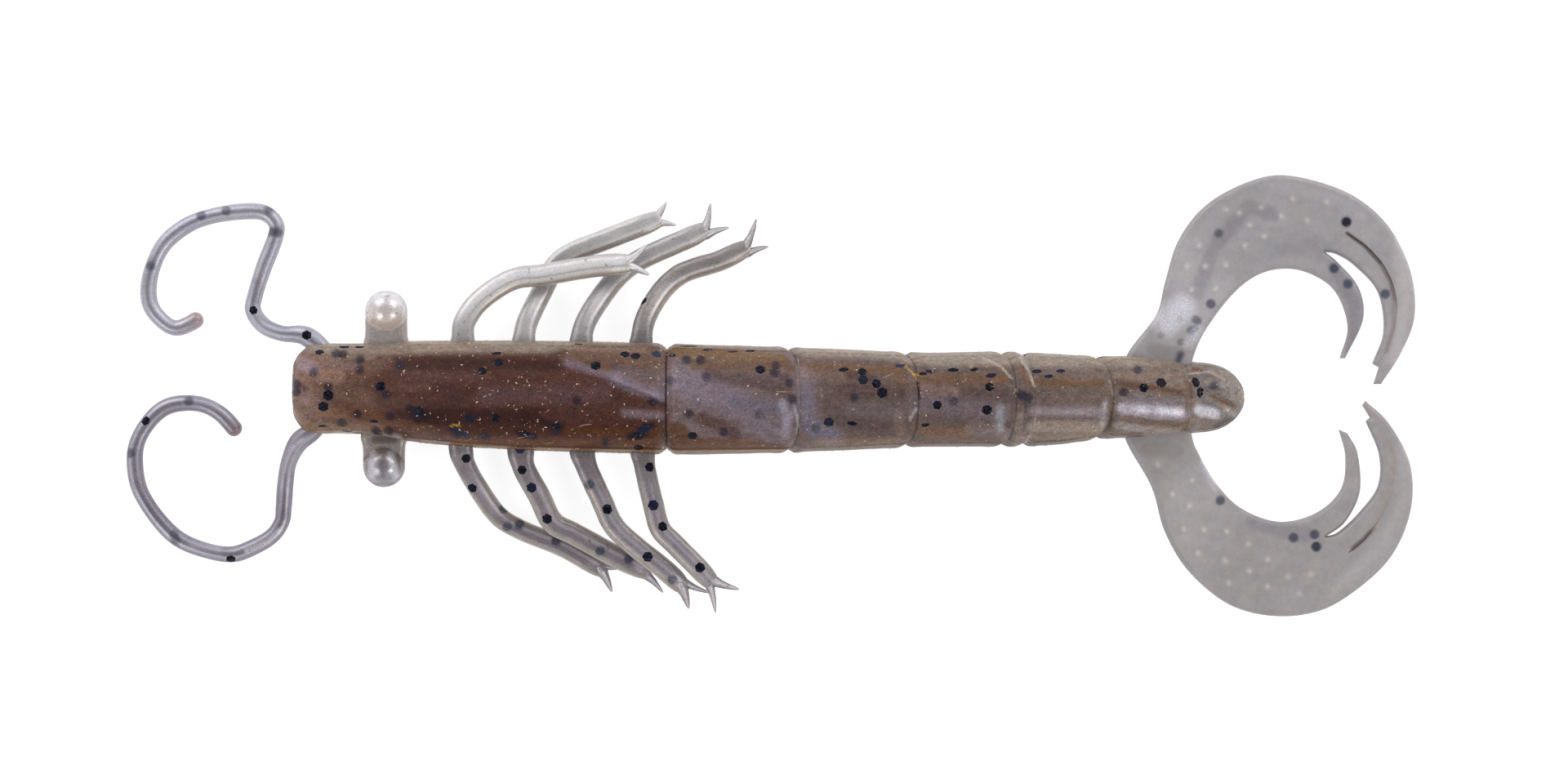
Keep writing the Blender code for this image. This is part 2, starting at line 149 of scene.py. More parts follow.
def nearest_on_line(places: Array, line: Array) -> tuple[Array, Array]:
    """Drops places square onto every stretch of a broken line, in plan, and keeps the nearest foot.

    Args:
        places: Rows of x and y.
        line: Rows of x and y along the line. One row alone is a dot.

    Returns:
        The distance, which is negative on the line's right-hand side, and how far along the line the
        foot lies, from 0 to 1.
    """
    if len(line) == 1:
        return np.linalg.norm(places - line[0], axis=1), np.zeros(len(places))
    step = np.diff(line, axis=0)
    reach = places[:, None] - line[:-1]
    share = np.clip((reach * step).sum(-1) / np.maximum((step**2).sum(-1), 1e-12), 0.0, 1.0)
    off = reach - share[..., None] * step
    gap = np.linalg.norm(off, axis=-1)
    nearest = gap.argmin(axis=1)
    row = np.arange(len(places))
    turn = step[nearest, 0] * off[row, nearest, 1] - step[nearest, 1] * off[row, nearest, 0]
    side = np.where(turn < 0, -1.0, 1.0)
    return gap[row, nearest] * side, (nearest + share[row, nearest]) / len(step)


def round_curve(knots: Sequence[Sequence[float]], steps: int = 16) -> Array:
    """A Catmull-Rom curve through the knots.

    Each span is the cubic whose slope at a knot is half the way from the knot before to the one after.

    Args:
        knots: Rows of coordinates.
        steps: Points in each span.

    Returns:
        Points along the curve, the last knot included.
    """
    knots = np.asarray(knots, float)
    guides = np.vstack((2 * knots[0] - knots[1], knots, 2 * knots[-1] - knots[-2]))
    t = np.linspace(0, 1, steps, endpoint=False)[:, None]
    before, start, end, after = (guides[k : len(knots) - 1 + k, None] for k in range(4))
    bend = (2 * before - 5 * start + 4 * end - after) * t + (3 * (start - end) + after - before) * t * t
    spans = start + 0.5 * t * (end - before + bend)
    return np.vstack((spans.reshape(-1, knots.shape[1]), knots[-1:]))


def walk(curve: Array, shares: Array) -> Array:
    """Points at shares of a curve's length, from 0 at its start to 1 at its end."""
    steps = np.linalg.norm(np.diff(curve, axis=0), axis=1)
    length = np.append(0.0, np.cumsum(steps)) / steps.sum()
    return np.column_stack([np.interp(shares, length, column) for column in curve.T])


@dataclass(frozen=True)
class Stroke:
    """A soft-edged stroke of colour in the plastic.

    Attributes:
        path: Pixels along the middle of the stroke. One pixel makes a dot.
        half_width: Pixels from the middle to the edge.
        colour: Screen colour.
        strength: How much of the colour there is in the middle.
        softness: The share of the half width over which the stroke fades out.
    """

    path: Pixels
    half_width: float
    colour: Colour
    strength: float = 1.0
    softness: float = 0.7

    def cover(self, places: Array) -> Array:
        """How much of the stroke lies over each place: smooth from the strength down to 0 at its edge."""
        gap, _ = nearest_on_line(places[:, :2], PHOTO.plan(self.path))
        width = self.half_width * PHOTO.mm_per_pixel
        return self.strength * smooth_step((width - np.abs(gap)) / (width * self.softness))


def dust(path: Pixels, half_width: float, amount: float, softness: float = 0.9) -> Stroke:
    """A run of pearl dust: a stroke without a colour, whose strength is the amount of dust."""
    return Stroke(path, half_width, (0, 0, 0), amount, softness)


def dots(
    spots: Pixels, half_width: float, colour: Colour, strength: float, softness: float = 0.7
) -> list[Stroke]:
    """Round soft dots, such as flakes deep in the plastic."""
    return [Stroke(spot, half_width, colour, strength, softness) for spot in zip(spots[::2], spots[1::2])]


def gather(pearl: Array, places: Array, runs: Sequence[Stroke], shown: Array | float = 1.0) -> Array:
    """Raises the pearl at each place to the most dust that any run has there."""
    return np.maximum.reduce([pearl, *(run.cover(places) * shown for run in runs)])


@dataclass(frozen=True)
class Patch:
    """A patch of colour in the plastic, inside a closed outline.

    Attributes:
        outline: Pixels round the patch.
        colour: Screen colour.
        strength: How much of the colour there is inside.
        softness: Pixels over which it fades, half of them on each side of the outline.
    """

    outline: Pixels
    colour: Colour
    strength: float = 1.0
    softness: float = 5.0

    def cover(self, places: Array) -> Array:
        """How much of the patch lies over each place.

        A place is inside where a line from it to the right crosses the outline an odd number of times.
        The distance to the outline then sets how far the smooth fade has come.

        Args:
            places: Points of the surface.

        Returns:
            The strength inside, 0 outside.
        """
        start = PHOTO.plan(self.outline)
        end = np.roll(start, -1, axis=0)
        x, y = places[:, :1], places[:, 1:2]
        rise = end[:, 1] - start[:, 1]
        climbed = (y - start[:, 1]) / np.where(rise == 0, 1.0, rise)
        crossing = start[:, 0] + climbed * (end[:, 0] - start[:, 0])
        crossed = ((start[:, 1] > y) != (end[:, 1] > y)) & (x < crossing)
        inside = np.where(crossed.sum(axis=1) % 2 == 1, 1.0, -1.0)
        gap = np.abs(nearest_on_line(places[:, :2], np.vstack((start, start[:1])))[0])
        fade = gap * inside / (self.softness * PHOTO.mm_per_pixel)
        return self.strength * smooth_step(0.5 + fade)


def paint(tint: Array, places: Array, strokes: Sequence[Stroke | Patch], shown: Array | float = 1.0) -> Array:
    """Lays strokes and patches over a tint, one after the other.

    Args:
        tint: Rows of linear colour.
        places: Points of the surface.
        strokes: What is laid over it, the lowest first.
        shown: How much of each may show at each point.

    Returns:
        The painted tint.
    """
    for stroke in strokes:
        tint = mix(tint, stroke.colour, stroke.cover(places) * shown)
    return tint


@dataclass(frozen=True)
class LightBand:
    """A long band of painted light or shade along a limb, such as a highlight or the darker line beside one.

    Attributes:
        across: Where its middle lies across the limb, from -1 at its right edge to 1 at its left.
        half_width: Where it has faded to a third, as a share of the limb's half width.
        colour: Screen colour.
        strength: How much of the colour there is in the middle.
    """

    across: float
    half_width: float
    colour: Colour
    strength: float = 0.8


def paint_light_bands(tint: Array, across: Array, light_bands: Sequence[LightBand], shown: Array) -> Array:
    """Lays painted highlight and shade bands over a limb's tint, each as a bell across it.

    Args:
        tint: Rows of linear colour.
        across: Where each point lies across the limb.
        light_bands: The painted highlights and shade laid over it, the lowest first.
        shown: How much of each may show at each point.

    Returns:
        The banded tint.
    """
    for band in light_bands:
        tint = mix(tint, band.colour, band.strength * hump(across - band.across, band.half_width) * shown)
    return tint


def paint_side_shade(tint: Array, shell: "Shell", share: float, start: float = 0.57) -> Array:
    """Painted shade: darkens a tint down the sides, smoothly from where the way out rises less than start to
    the share.
    """
    steep = smooth_step((start - shell.normals()[:, 2]) / start)[:, None]
    return tint * (1 - share * steep)


def waviness(places: Array, length: float) -> Array:
    """A gentle unevenness from -1 to 1: the mean of four sine waves that cross each other.

    Args:
        places: Points, in millimetres.
        length: Length of the longest wave.

    Returns:
        One value for each point.
    """
    ways = np.array(((1.0, 0.3, 0.5), (-0.6, 1.1, 0.4), (1.7, -1.3, 0.9), (0.4, 2.1, -1.6)))
    phases = np.array((0.0, 1.3, 2.9, 4.1))
    return np.sin(places @ ways.T * 2 * math.pi / length + phases).mean(axis=1)


def place_in_scene(name: str, data: bpy.types.ID) -> bpy.types.Object:
    """Makes an object of a mesh, a light or a camera, at the origin of the scene."""
    made = bpy.data.objects.new(name, data)
    bpy.context.scene.collection.objects.link(made)
    return made


@dataclass
class Shell:
    """A surface: points, its faces of four and of three corners, and values kept at the points."""

    points: Array
    quads: Array
    triangles: Array
    values: dict[str, Array] = field(default_factory=dict)

    @classmethod
    def from_rings(cls, grid: Array) -> "Shell":
        """Closes a grid of rings round a path into one surface, with a fan at each end.

        Args:
            grid: Points by ring, by place round the ring, and by coordinate.

        Returns:
            The surface, its faces pointing out.
        """
        rows, sides = grid.shape[:2]
        ring, side = np.meshgrid(np.arange(rows - 1) * sides, np.arange(sides), indexing="ij")
        after = (side + 1) % sides
        corners = (ring + side, ring + after, ring + sides + after, ring + sides + side)
        around, ahead = np.arange(sides), np.roll(np.arange(sides), -1)
        last, pole = (rows - 1) * sides, np.full(sides, rows * sides)
        fan_first = np.column_stack((ahead, around, pole))
        fan_last = np.column_stack((last + around, last + ahead, pole + 1))
        points = np.vstack((grid.reshape(-1, 3), grid[0].mean(axis=0), grid[-1].mean(axis=0)))
        return cls(points, np.stack(corners, axis=-1).reshape(-1, 4), np.vstack((fan_first, fan_last)))

    @classmethod
    def join(cls, shells: Sequence["Shell"]) -> "Shell":
        """Puts several surfaces that keep the same values into one."""
        starts = np.cumsum([0] + [len(shell.points) for shell in shells[:-1]])
        return cls(
            np.vstack([shell.points for shell in shells]),
            np.vstack([shell.quads + start for shell, start in zip(shells, starts)]),
            np.vstack([shell.triangles + start for shell, start in zip(shells, starts)]),
            {name: np.concatenate([shell.values[name] for shell in shells]) for name in shells[0].values},
        )

    def normals(self) -> Array:
        """The way out at each point: the mean of the faces round it, each by its area."""
        total = np.zeros_like(self.points)
        for faces in (self.quads, self.triangles):
            corner = self.points[faces]
            out = np.cross(corner[:, 2] - corner[:, 0], corner[:, -1] - corner[:, 1])
            np.add.at(total, faces.ravel(), np.repeat(out, faces.shape[1], axis=0))
        return total / np.maximum(np.linalg.norm(total, axis=1, keepdims=True), 1e-12)

    def build(self, name: str, material: bpy.types.Material, slot: Slot, node: str | None = None) -> None:
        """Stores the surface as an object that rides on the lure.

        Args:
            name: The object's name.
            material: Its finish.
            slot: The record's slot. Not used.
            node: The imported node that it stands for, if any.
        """
        corners = np.concatenate((self.quads.ravel(), self.triangles.ravel()))
        sizes = np.repeat((4, 3), (len(self.quads), len(self.triangles)))
        mesh = bpy.data.meshes.new(name)
        mesh.vertices.add(len(self.points))
        mesh.loops.add(len(corners))
        mesh.polygons.add(len(sizes))
        mesh.vertices.foreach_set("co", (self.points * MM).astype(np.float32).ravel())
        mesh.loops.foreach_set("vertex_index", corners.astype(np.int32))
        mesh.polygons.foreach_set("loop_start", (np.cumsum(sizes) - sizes).astype(np.int32))
        mesh.update(calc_edges=True)
        for key, values in self.values.items():
            if values.ndim == 2:
                values = np.column_stack((values, np.ones(len(values))))
                attribute = mesh.attributes.new(key, "FLOAT_COLOR", "POINT")
                attribute.data.foreach_set("color", values.astype(np.float32).ravel())
            else:
                attribute = mesh.attributes.new(key, "FLOAT", "POINT")
                attribute.data.foreach_set("value", values.astype(np.float32))
        mesh.shade_smooth()
        mesh.materials.append(material)
        piece = place_in_scene(name, mesh)
        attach(piece, BODY_NAME)
        if node is not None:
            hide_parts(node)
        log.info("%s: %d points, %d faces", name, len(self.points), len(sizes))


def ring_section(sides: int, power: float = 2.0, channel: float = 0.0) -> Array:
    """A closed section of half width 1 and half height 1.

    It is the curve where across to the power plus up to the power is 1: round at 2, squarer above. The
    channel sinks the middle of its top by that share, over about a quarter of the width.

    Args:
        sides: Points round the section.
        power: How square it is.
        channel: Depth of the channel.

    Returns:
        Rows of across and up.
    """
    angle = np.arange(sides) * 2 * math.pi / sides
    ring = np.column_stack((np.cos(angle), np.sin(angle)))
    ring = np.sign(ring) * np.abs(ring) ** (2 / power)
    sunk = channel * hump(ring[:, 0], 0.3) * (ring[:, 1] > 0)
    ring[:, 1] *= 1 - sunk
    return ring


def carry(route: Array, half_width: Array, half_height: Array, section: Array) -> Array:
    """Carries a section along a route, square to it, with its width kept level.

    Each point is the route's, plus across times the level way, plus up times the way that is square to
    the route and to the level way.

    Args:
        route: Points along the middle.
        half_width: Half the section's width at each of them.
        half_height: Half its height at each of them.
        section: Rows of across and up.

    Returns:
        A grid of points: by place along the route, and round the section.
    """
    ahead = np.gradient(route, axis=0)
    ahead /= np.linalg.norm(ahead, axis=1, keepdims=True)
    level = np.cross((0.0, 0.0, 1.0), ahead)
    level /= np.linalg.norm(level, axis=1, keepdims=True)
    up = np.cross(ahead, level)
    across = (half_width[:, None] * section[:, 0])[..., None] * level[:, None]
    rise = (half_height[:, None] * section[:, 1])[..., None] * up[:, None]
    return route[:, None] + across + rise


def round_ended_route(knots: Sequence[Sequence[float]], spacing: float, end: float) -> tuple[Array, Array]:
    """Points along a smooth route, and how much of the full section is left at each.

    The section keeps its size up to one end length before the tip, and then falls off as a quarter
    circle does.

    Args:
        knots: Given points of the route.
        spacing: Distance between the points.
        end: Length of the round end.

    Returns:
        The points, and their shares of the section.
    """
    curve = round_curve(knots)
    length = np.linalg.norm(np.diff(curve, axis=0), axis=1).sum()
    straight = length - end
    along = np.linspace(0.0, straight, round(straight / spacing))
    tip = straight + end * np.sin(np.linspace(0.0, math.pi / 2, 9)[1:-1])
    along = np.concatenate((along, tip))
    share = np.sqrt(1 - np.clip((along - straight) / end, 0.0, 1.0) ** 2)
    return walk(curve, along / length), share


@dataclass(frozen=True)
class Skin:
    """The points of a finished surface and the way out at each, for what lies on it."""

    points: Array
    out: Array

    @classmethod
    def of(cls, shell: Shell) -> "Skin":
        """The skin of a surface."""
        return cls(shell.points, shell.normals())

    def under(self, pixels: Sequence[float]) -> Array:
        """Numbers of the skin's points that show at pixels of the photograph.

        Only points that face up are looked at, and of two that are as near the higher one is taken.

        Args:
            pixels: Places in the photograph.

        Returns:
            One number for each pixel.
        """
        facing = np.flatnonzero(self.out[:, 2] > 0.05)
        gaps = np.linalg.norm(PHOTO.plan(pixels)[:, None] - self.points[facing, :2], axis=-1)
        sunk = self.points[facing, 2].max() - self.points[facing, 2]
        return facing[(gaps + 0.02 * sunk).argmin(axis=1)]

    def settle(self, points: Array, lift: Array, reach: float) -> Array:
        """Moves points square onto the skin, onto the flat that touches it at the nearest of its points.

        Args:
            points: What to move. All of them lie near their middle.
            lift: How far each is left above the skin.
            reach: How far round their middle the skin is looked at.

        Returns:
            The moved points.
        """
        near = np.flatnonzero(np.linalg.norm(self.points - points.mean(axis=0), axis=1) < reach)
        nearest = near[np.linalg.norm(points[:, None] - self.points[near], axis=-1).argmin(axis=1)]
        out = self.out[nearest]
        height = ((points - self.points[nearest]) * out).sum(axis=1)
        return points + out * (lift - height)[:, None]


@dataclass(frozen=True)
class Fleck:
    """The unit shape of something small that lies in the plastic's skin.

    Attributes:
        places: Rows of along, across and lift, each from -1 to 1.
        quads: Faces of four corners.
        triangles: Faces of three corners.
    """

    places: Array
    quads: Array
    triangles: Array

    @classmethod
    def flake(cls) -> "Fleck":
        """A six-sided flake: four rings of twelve on hexagons, upright at the rim and bevelled on top.

        A hexagon's radius at an angle is 1 over the cosine of the angle from the middle of its side.
        """
        angle = np.arange(12) * math.pi / 6
        apothem = math.cos(math.pi / 6)
        radius = apothem / np.cos((angle + math.pi / 6) % (math.pi / 3) - math.pi / 6)
        ring = np.column_stack((np.cos(angle), np.sin(angle))) * radius[:, None]
        levels = ((1, -1), (1, 0.6), (0.86, 1), (0.4, 1))
        rings = [np.column_stack((ring * size, np.full(12, lift))) for size, lift in levels]
        shell = Shell.from_rings(np.array(rings))
        return cls(shell.points, shell.quads, shell.triangles)

    @classmethod
    def fibre(cls, stations: int = 7) -> "Fleck":
        """A thin thread along the first axis, pointed at both ends: a square section that narrows."""
        along = np.sin(np.linspace(-math.pi / 2, math.pi / 2, stations))
        size = np.sqrt(1 - along**2 * 0.9)
        section = np.array(((1, 0), (0, 1), (-1, 0), (0, -1)))
        grid = np.empty((stations, 4, 3))
        grid[..., 0] = along[:, None]
        grid[..., 1] = size[:, None] * section[:, 0]
        grid[..., 2] = size[:, None] * section[:, 1]
        shell = Shell.from_rings(grid)
        return cls(shell.points, shell.quads, shell.triangles)

    def lay(self, skin: Skin, spots: Array, sizes: Array, turns: Array, bends: Array, tints: Array) -> Shell:
        """Lays one fleck at each spot of a skin.

        Along and across are turned in the skin's touching plane, the bend adds along squared to across,
        and the points then settle onto the skin.

        Args:
            skin: The surface.
            spots: Numbers of its points.
            sizes: Rows of half length, half width and half thickness.
            turns: Angles, in radians.
            bends: How far each is bent sideways at its ends.
            tints: Rows of linear colour.

        Returns:
            One surface with all of them.
        """
        shells = []
        for spot, size, turn, bend, tint in zip(spots, sizes, turns, bends, tints):
            out = skin.out[spot]
            side = np.cross(out, (0.0, 0.0, 1.0)) if abs(out[1]) > 0.9 else np.cross((0.0, 1.0, 0.0), out)
            side /= np.linalg.norm(side)
            along = side * math.cos(turn) + np.cross(out, side) * math.sin(turn)
            across = np.cross(out, along)
            first, second, third = (self.places * size).T
            second = second + bend * self.places[:, 0] ** 2
            points = skin.points[spot] + first[:, None] * along + second[:, None] * across
            points = skin.settle(points, third, size[0] + 0.9)
            tints_here = np.tile(tint, (len(points), 1))
            shells.append(Shell(points, self.quads, self.triangles, {"tint": tints_here}))
        return Shell.join(shells)


FLAKE = Fleck.flake()
FIBRE = Fleck.fibre()
FLAKE_RADIUS = 0.475
FLAKE_LIFT = 0.012
FLAKE_TONES = ((5, 4, 8), (12, 11, 20), (24, 26, 44), (44, 50, 76))
FLAKE_CHANCES = (0.45, 0.3, 0.15, 0.1)
BODY_SIDE = 4.6  # about where limbs leave the body, in millimetres from its middle


def lay_flakes(skin: Skin, spots: Array, seed: int, thinness: float = 1.0) -> Shell:
    """Lays hexagonal glitter flakes at spots of a skin, each with its own turn, size and shade.

    Args:
        skin: The surface.
        spots: Numbers of its points.
        seed: Starts the random draws.
        thinness: Width over length. Flakes that are seen nearly edge-on are thin and lie along the lure.

    Returns:
        One surface with all of them.
    """
    draw = np.random.default_rng(seed)
    count = len(spots)
    radius = FLAKE_RADIUS * draw.uniform(0.86, 1.1, count)
    sizes = np.column_stack((radius, radius * thinness, np.full(count, FLAKE_LIFT)))
    tones = linear(FLAKE_TONES)[draw.choice(len(FLAKE_TONES), count, p=FLAKE_CHANCES)]
    turns = draw.uniform(0, math.pi / 3, count) if thinness == 1 else draw.uniform(-0.25, 0.25, count)
    return FLAKE.lay(skin, spots, sizes, turns, np.zeros(count), tones)


@dataclass(frozen=True)
class SpeckMix:
    """Loose threads and specks in the plastic.

    Attributes:
        name: What they are.
        seed: Starts the random draws.
        count: How many there are.
        half_lengths: The shortest and the longest half length.
        half_width: Half their thickness.
        bend: The most that one is bent, as a share of its length.
        colours: Screen colours to pick from.
        chances: How often each colour is picked.
    """

    name: str
    seed: int
    count: int
    half_lengths: tuple[float, float]
    half_width: float
    bend: float
    colours: tuple[Colour, ...]
    chances: tuple[float, ...]

    def scatter(self, skin: Skin, chance: Array) -> Shell:
        """Scatters the mix over a skin, from a seeded draw.

        Args:
            skin: The surface.
            chance: How likely each point of the skin is to be picked, against the others.

        Returns:
            One surface with all of them.
        """
        draw = np.random.default_rng(self.seed)
        spots = draw.choice(len(skin.points), self.count, replace=False, p=chance / chance.sum())
        half = draw.uniform(*self.half_lengths, self.count)
        width = self.half_width * draw.uniform(0.7, 1.3, self.count)
        sizes = np.column_stack((half, width, width))
        bends = half * draw.uniform(-self.bend, self.bend, self.count)
        tones = linear(self.colours)[draw.choice(len(self.colours), self.count, p=self.chances)]
        return FIBRE.lay(skin, spots, sizes, draw.uniform(0, math.pi, self.count), bends, tones)


class Nodes:
    """Short calls for building a material's nodes."""

    def __init__(self, name: str) -> None:
        """Starts a material with its Principled shader."""
        self.material = bpy.data.materials.new(name)
        self.material.use_nodes = True
        self.tree = self.material.node_tree
        self.shader = self.tree.nodes["Principled BSDF"]

    def fill(self, node: bpy.types.Node, inputs: dict) -> bpy.types.Node:
        """Links or sets a node's inputs.

        Args:
            node: The node.
            inputs: Sockets to link or values to set, by the input's name or number.

        Returns:
            The same node.
        """
        for key, value in inputs.items():
            if isinstance(value, Socket):
                self.tree.links.new(value, node.inputs[key])
            else:
                node.inputs[key].default_value = value
        return node

    def add(self, kind: str, inputs: dict | None = None, **settings: object) -> bpy.types.Node:
        """Adds a node.

        Args:
            kind: Its type, without the word ShaderNode.
            inputs: Sockets to link or values to set.
            settings: Its own properties.

        Returns:
            The new node.
        """
        node = self.tree.nodes.new("ShaderNode" + kind)
        for key, value in settings.items():
            setattr(node, key, value)
        return self.fill(node, inputs or {})

    def place(self) -> Socket:
        """Where a point lies on its object."""
        return self.add("TexCoord").outputs["Object"]

    def read(self, name: str, output: str = "Fac") -> Socket:
        """Reads what the mesh keeps at its points: a value, or a colour from the output Color."""
        return self.add("Attribute", attribute_name=name).outputs[output]

    def noise(self, where: Socket, size: float, detail: float) -> Socket:
        """Cloudy noise whose lumps are about size metres across."""
        inputs = {"Vector": where, "Scale": 1 / size, "Detail": detail, "Roughness": 0.55}
        return self.add("TexNoise", inputs).outputs[0]

    def span(self, value: Socket, a: float, b: float, to_a: float, to_b: float) -> Socket:
        """Maps a value between a and b onto to_a and to_b, and holds it there outside them."""
        return self.add("MapRange", {0: value, 1: a, 2: b, 3: to_a, 4: to_b}).outputs[0]

    def vary(self, noise: Socket, low: float, high: float) -> Socket:
        """Spreads noise, most of which lies between .3 and .7, from low to high."""
        return self.span(noise, 0.3, 0.7, low, high)

    def math(self, operation: str, first: object, second: object = 0.0) -> Socket:
        """The result of one operation on numbers."""
        return self.add("Math", {0: first, 1: second}, operation=operation).outputs[0]

    def multiply(self, first: object, second: object) -> Socket:
        """Multiplies two colours or places part by part."""
        return self.add("VectorMath", {0: first, 1: second}, operation="MULTIPLY").outputs[0]

    def scale(self, colour: object, factor: Socket) -> Socket:
        """Multiplies a colour by a number."""
        return self.add("VectorMath", {0: colour, "Scale": factor}, operation="SCALE").outputs[0]

    def blend(self, share: object, first: object, second: object) -> Socket:
        """Mixes two colours by a share."""
        return self.add("Mix", {0: share, 6: first, 7: second}, data_type="RGBA").outputs[2]


@dataclass(frozen=True)
class SoftPlastic:
    """Moulded soft plastic with pearl dust in it.

    The mesh keeps its tint, how much pearl dust shows, and how far each point lies from a moulded line.

    Attributes:
        name: The material's name.
        roughness: How soft its shine is.
        metallic: The share of the plastic that shines as the pearl pigment does.
        shine: Specular level of the clear skin over the pigment.
        pearl: Screen colour of the dust.
        mottle: How far the tint wanders.
        glow: Subsurface weight.
        line: Screen colour of the moulded lines.
        drift: How much of the clouds there is.
        draw: What X is multiplied by for the clouds, lumps and grain: below 1 they run along the lure.
        lumpiness: How far the lumps darken and lighten the tint.
        warm: What clouds of warmer plastic multiply the tint by.
        cool: What clouds of cooler plastic multiply the tint by.
        cloud_size: Metres across a cloud.
        lump_size: Metres across a lump of denser pigment.
        grain_size: Metres across the fine grain.
        dust_size: Metres across a speck of dust.
        grain_depth: Metres of relief in the grain.
        sparkle: What the dullest and the brightest speck of dust multiply the pearl by.
        line_width: Millimetres from a moulded line to where its colour ends.
    """

    name: str
    roughness: float
    metallic: float
    shine: float
    pearl: Colour
    mottle: float
    glow: float
    line: Colour
    drift: float = 1.0
    draw: float = 1.0
    lumpiness: float = 0.05
    warm: tuple[float, float, float] = (1.1, 0.98, 0.88)
    cool: tuple[float, float, float] = (0.95, 1.0, 1.06)
    cloud_size: float = 0.0014
    lump_size: float = 0.0005
    grain_size: float = 0.00014
    dust_size: float = 0.00008
    grain_depth: float = 0.00003
    sparkle: tuple[float, float] = (0.25, 1.1)
    line_width: float = 0.07

    def build(self) -> bpy.types.Material:
        """Makes the material.

        The tint is multiplied by warm and cool clouds, by lumps and by fine grain. Where pearl shows,
        each cell takes the dust's colour by the pearl times a sparkle, which rises with the square of the
        cell's own number. Moulded lines are darkened.

        Returns:
            The material.
        """
        nodes = Nodes(self.name)
        where = nodes.place()
        cells = nodes.add("TexVoronoi", {"Vector": where, "Scale": 1 / self.dust_size}).outputs["Color"]
        where = nodes.multiply(where, (self.draw, 1.0, 1.0))
        clouds = nodes.noise(where, self.cloud_size, 3.0)
        grain = nodes.noise(where, self.grain_size, 2.0)
        pick = nodes.add("SeparateColor", {0: cells}).outputs[0]
        shift = nodes.blend(nodes.span(clouds, 0.35, 0.65, 0.0, 1.0), (*self.warm, 1.0), (*self.cool, 1.0))
        shift = nodes.blend(self.drift, (1.0, 1.0, 1.0, 1.0), shift)
        lumps = nodes.vary(nodes.noise(where, self.lump_size, 2.0), 1 - self.lumpiness, 1 + self.lumpiness)
        fine = nodes.math("MULTIPLY", nodes.vary(grain, 1 - self.mottle, 1 + self.mottle), lumps)
        tint = nodes.scale(nodes.multiply(nodes.read("tint", "Color"), shift), fine)
        sparkle = nodes.span(nodes.math("MULTIPLY", pick, pick), 0.0, 1.0, *self.sparkle)
        pearly = nodes.blend(nodes.math("MULTIPLY", nodes.read("pearl"), sparkle), tint, opaque(self.pearl))
        off = nodes.math("ABSOLUTE", nodes.read("line"))
        line = nodes.span(off, self.line_width / 3, self.line_width, 1.0, 0.0)
        line = nodes.math("MULTIPLY", line, nodes.read("line_strength"))
        height = nodes.math("ADD", grain, nodes.math("MULTIPLY", pick, 0.3))
        bump = nodes.add("Bump", {"Strength": 0.5, "Distance": self.grain_depth, "Height": height})
        inputs = {
            "Base Color": nodes.blend(line, pearly, opaque(self.line)),
            "Roughness": nodes.vary(grain, self.roughness - 0.06, self.roughness + 0.06),
            "Normal": bump.outputs[0],
            "Metallic": self.metallic,
            "Specular IOR Level": self.shine,
            "Subsurface Weight": self.glow,
            "Subsurface Radius": (1.0, 0.7, 0.5),
            "Subsurface Scale": 0.0006,
        }
        nodes.fill(nodes.shader, inputs)
        return nodes.material


@dataclass(frozen=True)
class FlakeFilm:
    """Dark glitter film: its own shade, broken up by paler blue patches that are painted glints of its
    facets, under a thin gloss.
    """

    name: str = "glitter film"
    patch: Colour = (66, 74, 112)
    patch_size: float = 0.00018

    def build(self) -> bpy.types.Material:
        """Makes the material: the flake's tint, with painted glints where fine noise is high."""
        nodes = Nodes(self.name)
        noise = nodes.noise(nodes.place(), self.patch_size, 2.0)
        painted_glints = nodes.span(noise, 0.5, 0.7, 0.0, 0.5)
        colour = nodes.blend(painted_glints, nodes.read("tint", "Color"), opaque(self.patch))
        rough = nodes.vary(noise, 0.35, 0.55)
        nodes.fill(nodes.shader, {"Base Color": colour, "Roughness": rough, "Specular IOR Level": 0.12})
        return nodes.material


@dataclass(frozen=True)
class ThreadFibre:
    """Pale thread: its own tint, a little uneven along its length."""

    name: str = "pale thread"
    lump_size: float = 0.0002

    def build(self) -> bpy.types.Material:
        """Makes the material: the tint scaled by noise."""
        nodes = Nodes(self.name)
        shade = nodes.vary(nodes.noise(nodes.place(), self.lump_size, 1.0), 0.8, 1.15)
        colour = nodes.scale(nodes.read("tint", "Color"), shade)
        nodes.fill(nodes.shader, {"Base Color": colour, "Roughness": 0.45})
        return nodes.material


@dataclass(frozen=True)
class Finishes:
    """The lure's materials, made once."""

    body: bpy.types.Material
    limb: bpy.types.Material
    eye: bpy.types.Material
    claw: bpy.types.Material
    flake: bpy.types.Material
    thread: bpy.types.Material

    @classmethod
    def build(cls) -> "Finishes":
        """Makes every material."""
        body = SoftPlastic(
            "body plastic", 0.34, 0.12, 0.1, (182, 174, 200), 0.34, 0.02, (40, 24, 16), 0.6, 0.75, 0.2
        )
        limb = SoftPlastic("limb plastic", 0.32, 0.35, 0.4, (236, 234, 240), 0.12, 0.08, (80, 70, 66), 0.25)
        eye = SoftPlastic("eye plastic", 0.24, 0.45, 0.5, (236, 234, 240), 0.06, 0.05, (80, 70, 66), 0.15)
        claw = SoftPlastic("claw plastic", 0.42, 0.1, 0.25, (236, 234, 244), 0.05, 0.1, (62, 44, 38), 0.2)
        finishes = (body, limb, eye, claw, FlakeFilm(), ThreadFibre())
        return cls(*(finish.build() for finish in finishes))


@dataclass(frozen=True)
class Groove:
    """A ring groove of the body.

    Attributes:
        x: Where it lies on the back.
        bow: How far forward its sides lean.
        depth: Its depth.
        line: Strength of the dark line in it.
    """

    x: float
    bow: float
    depth: float
    line: float


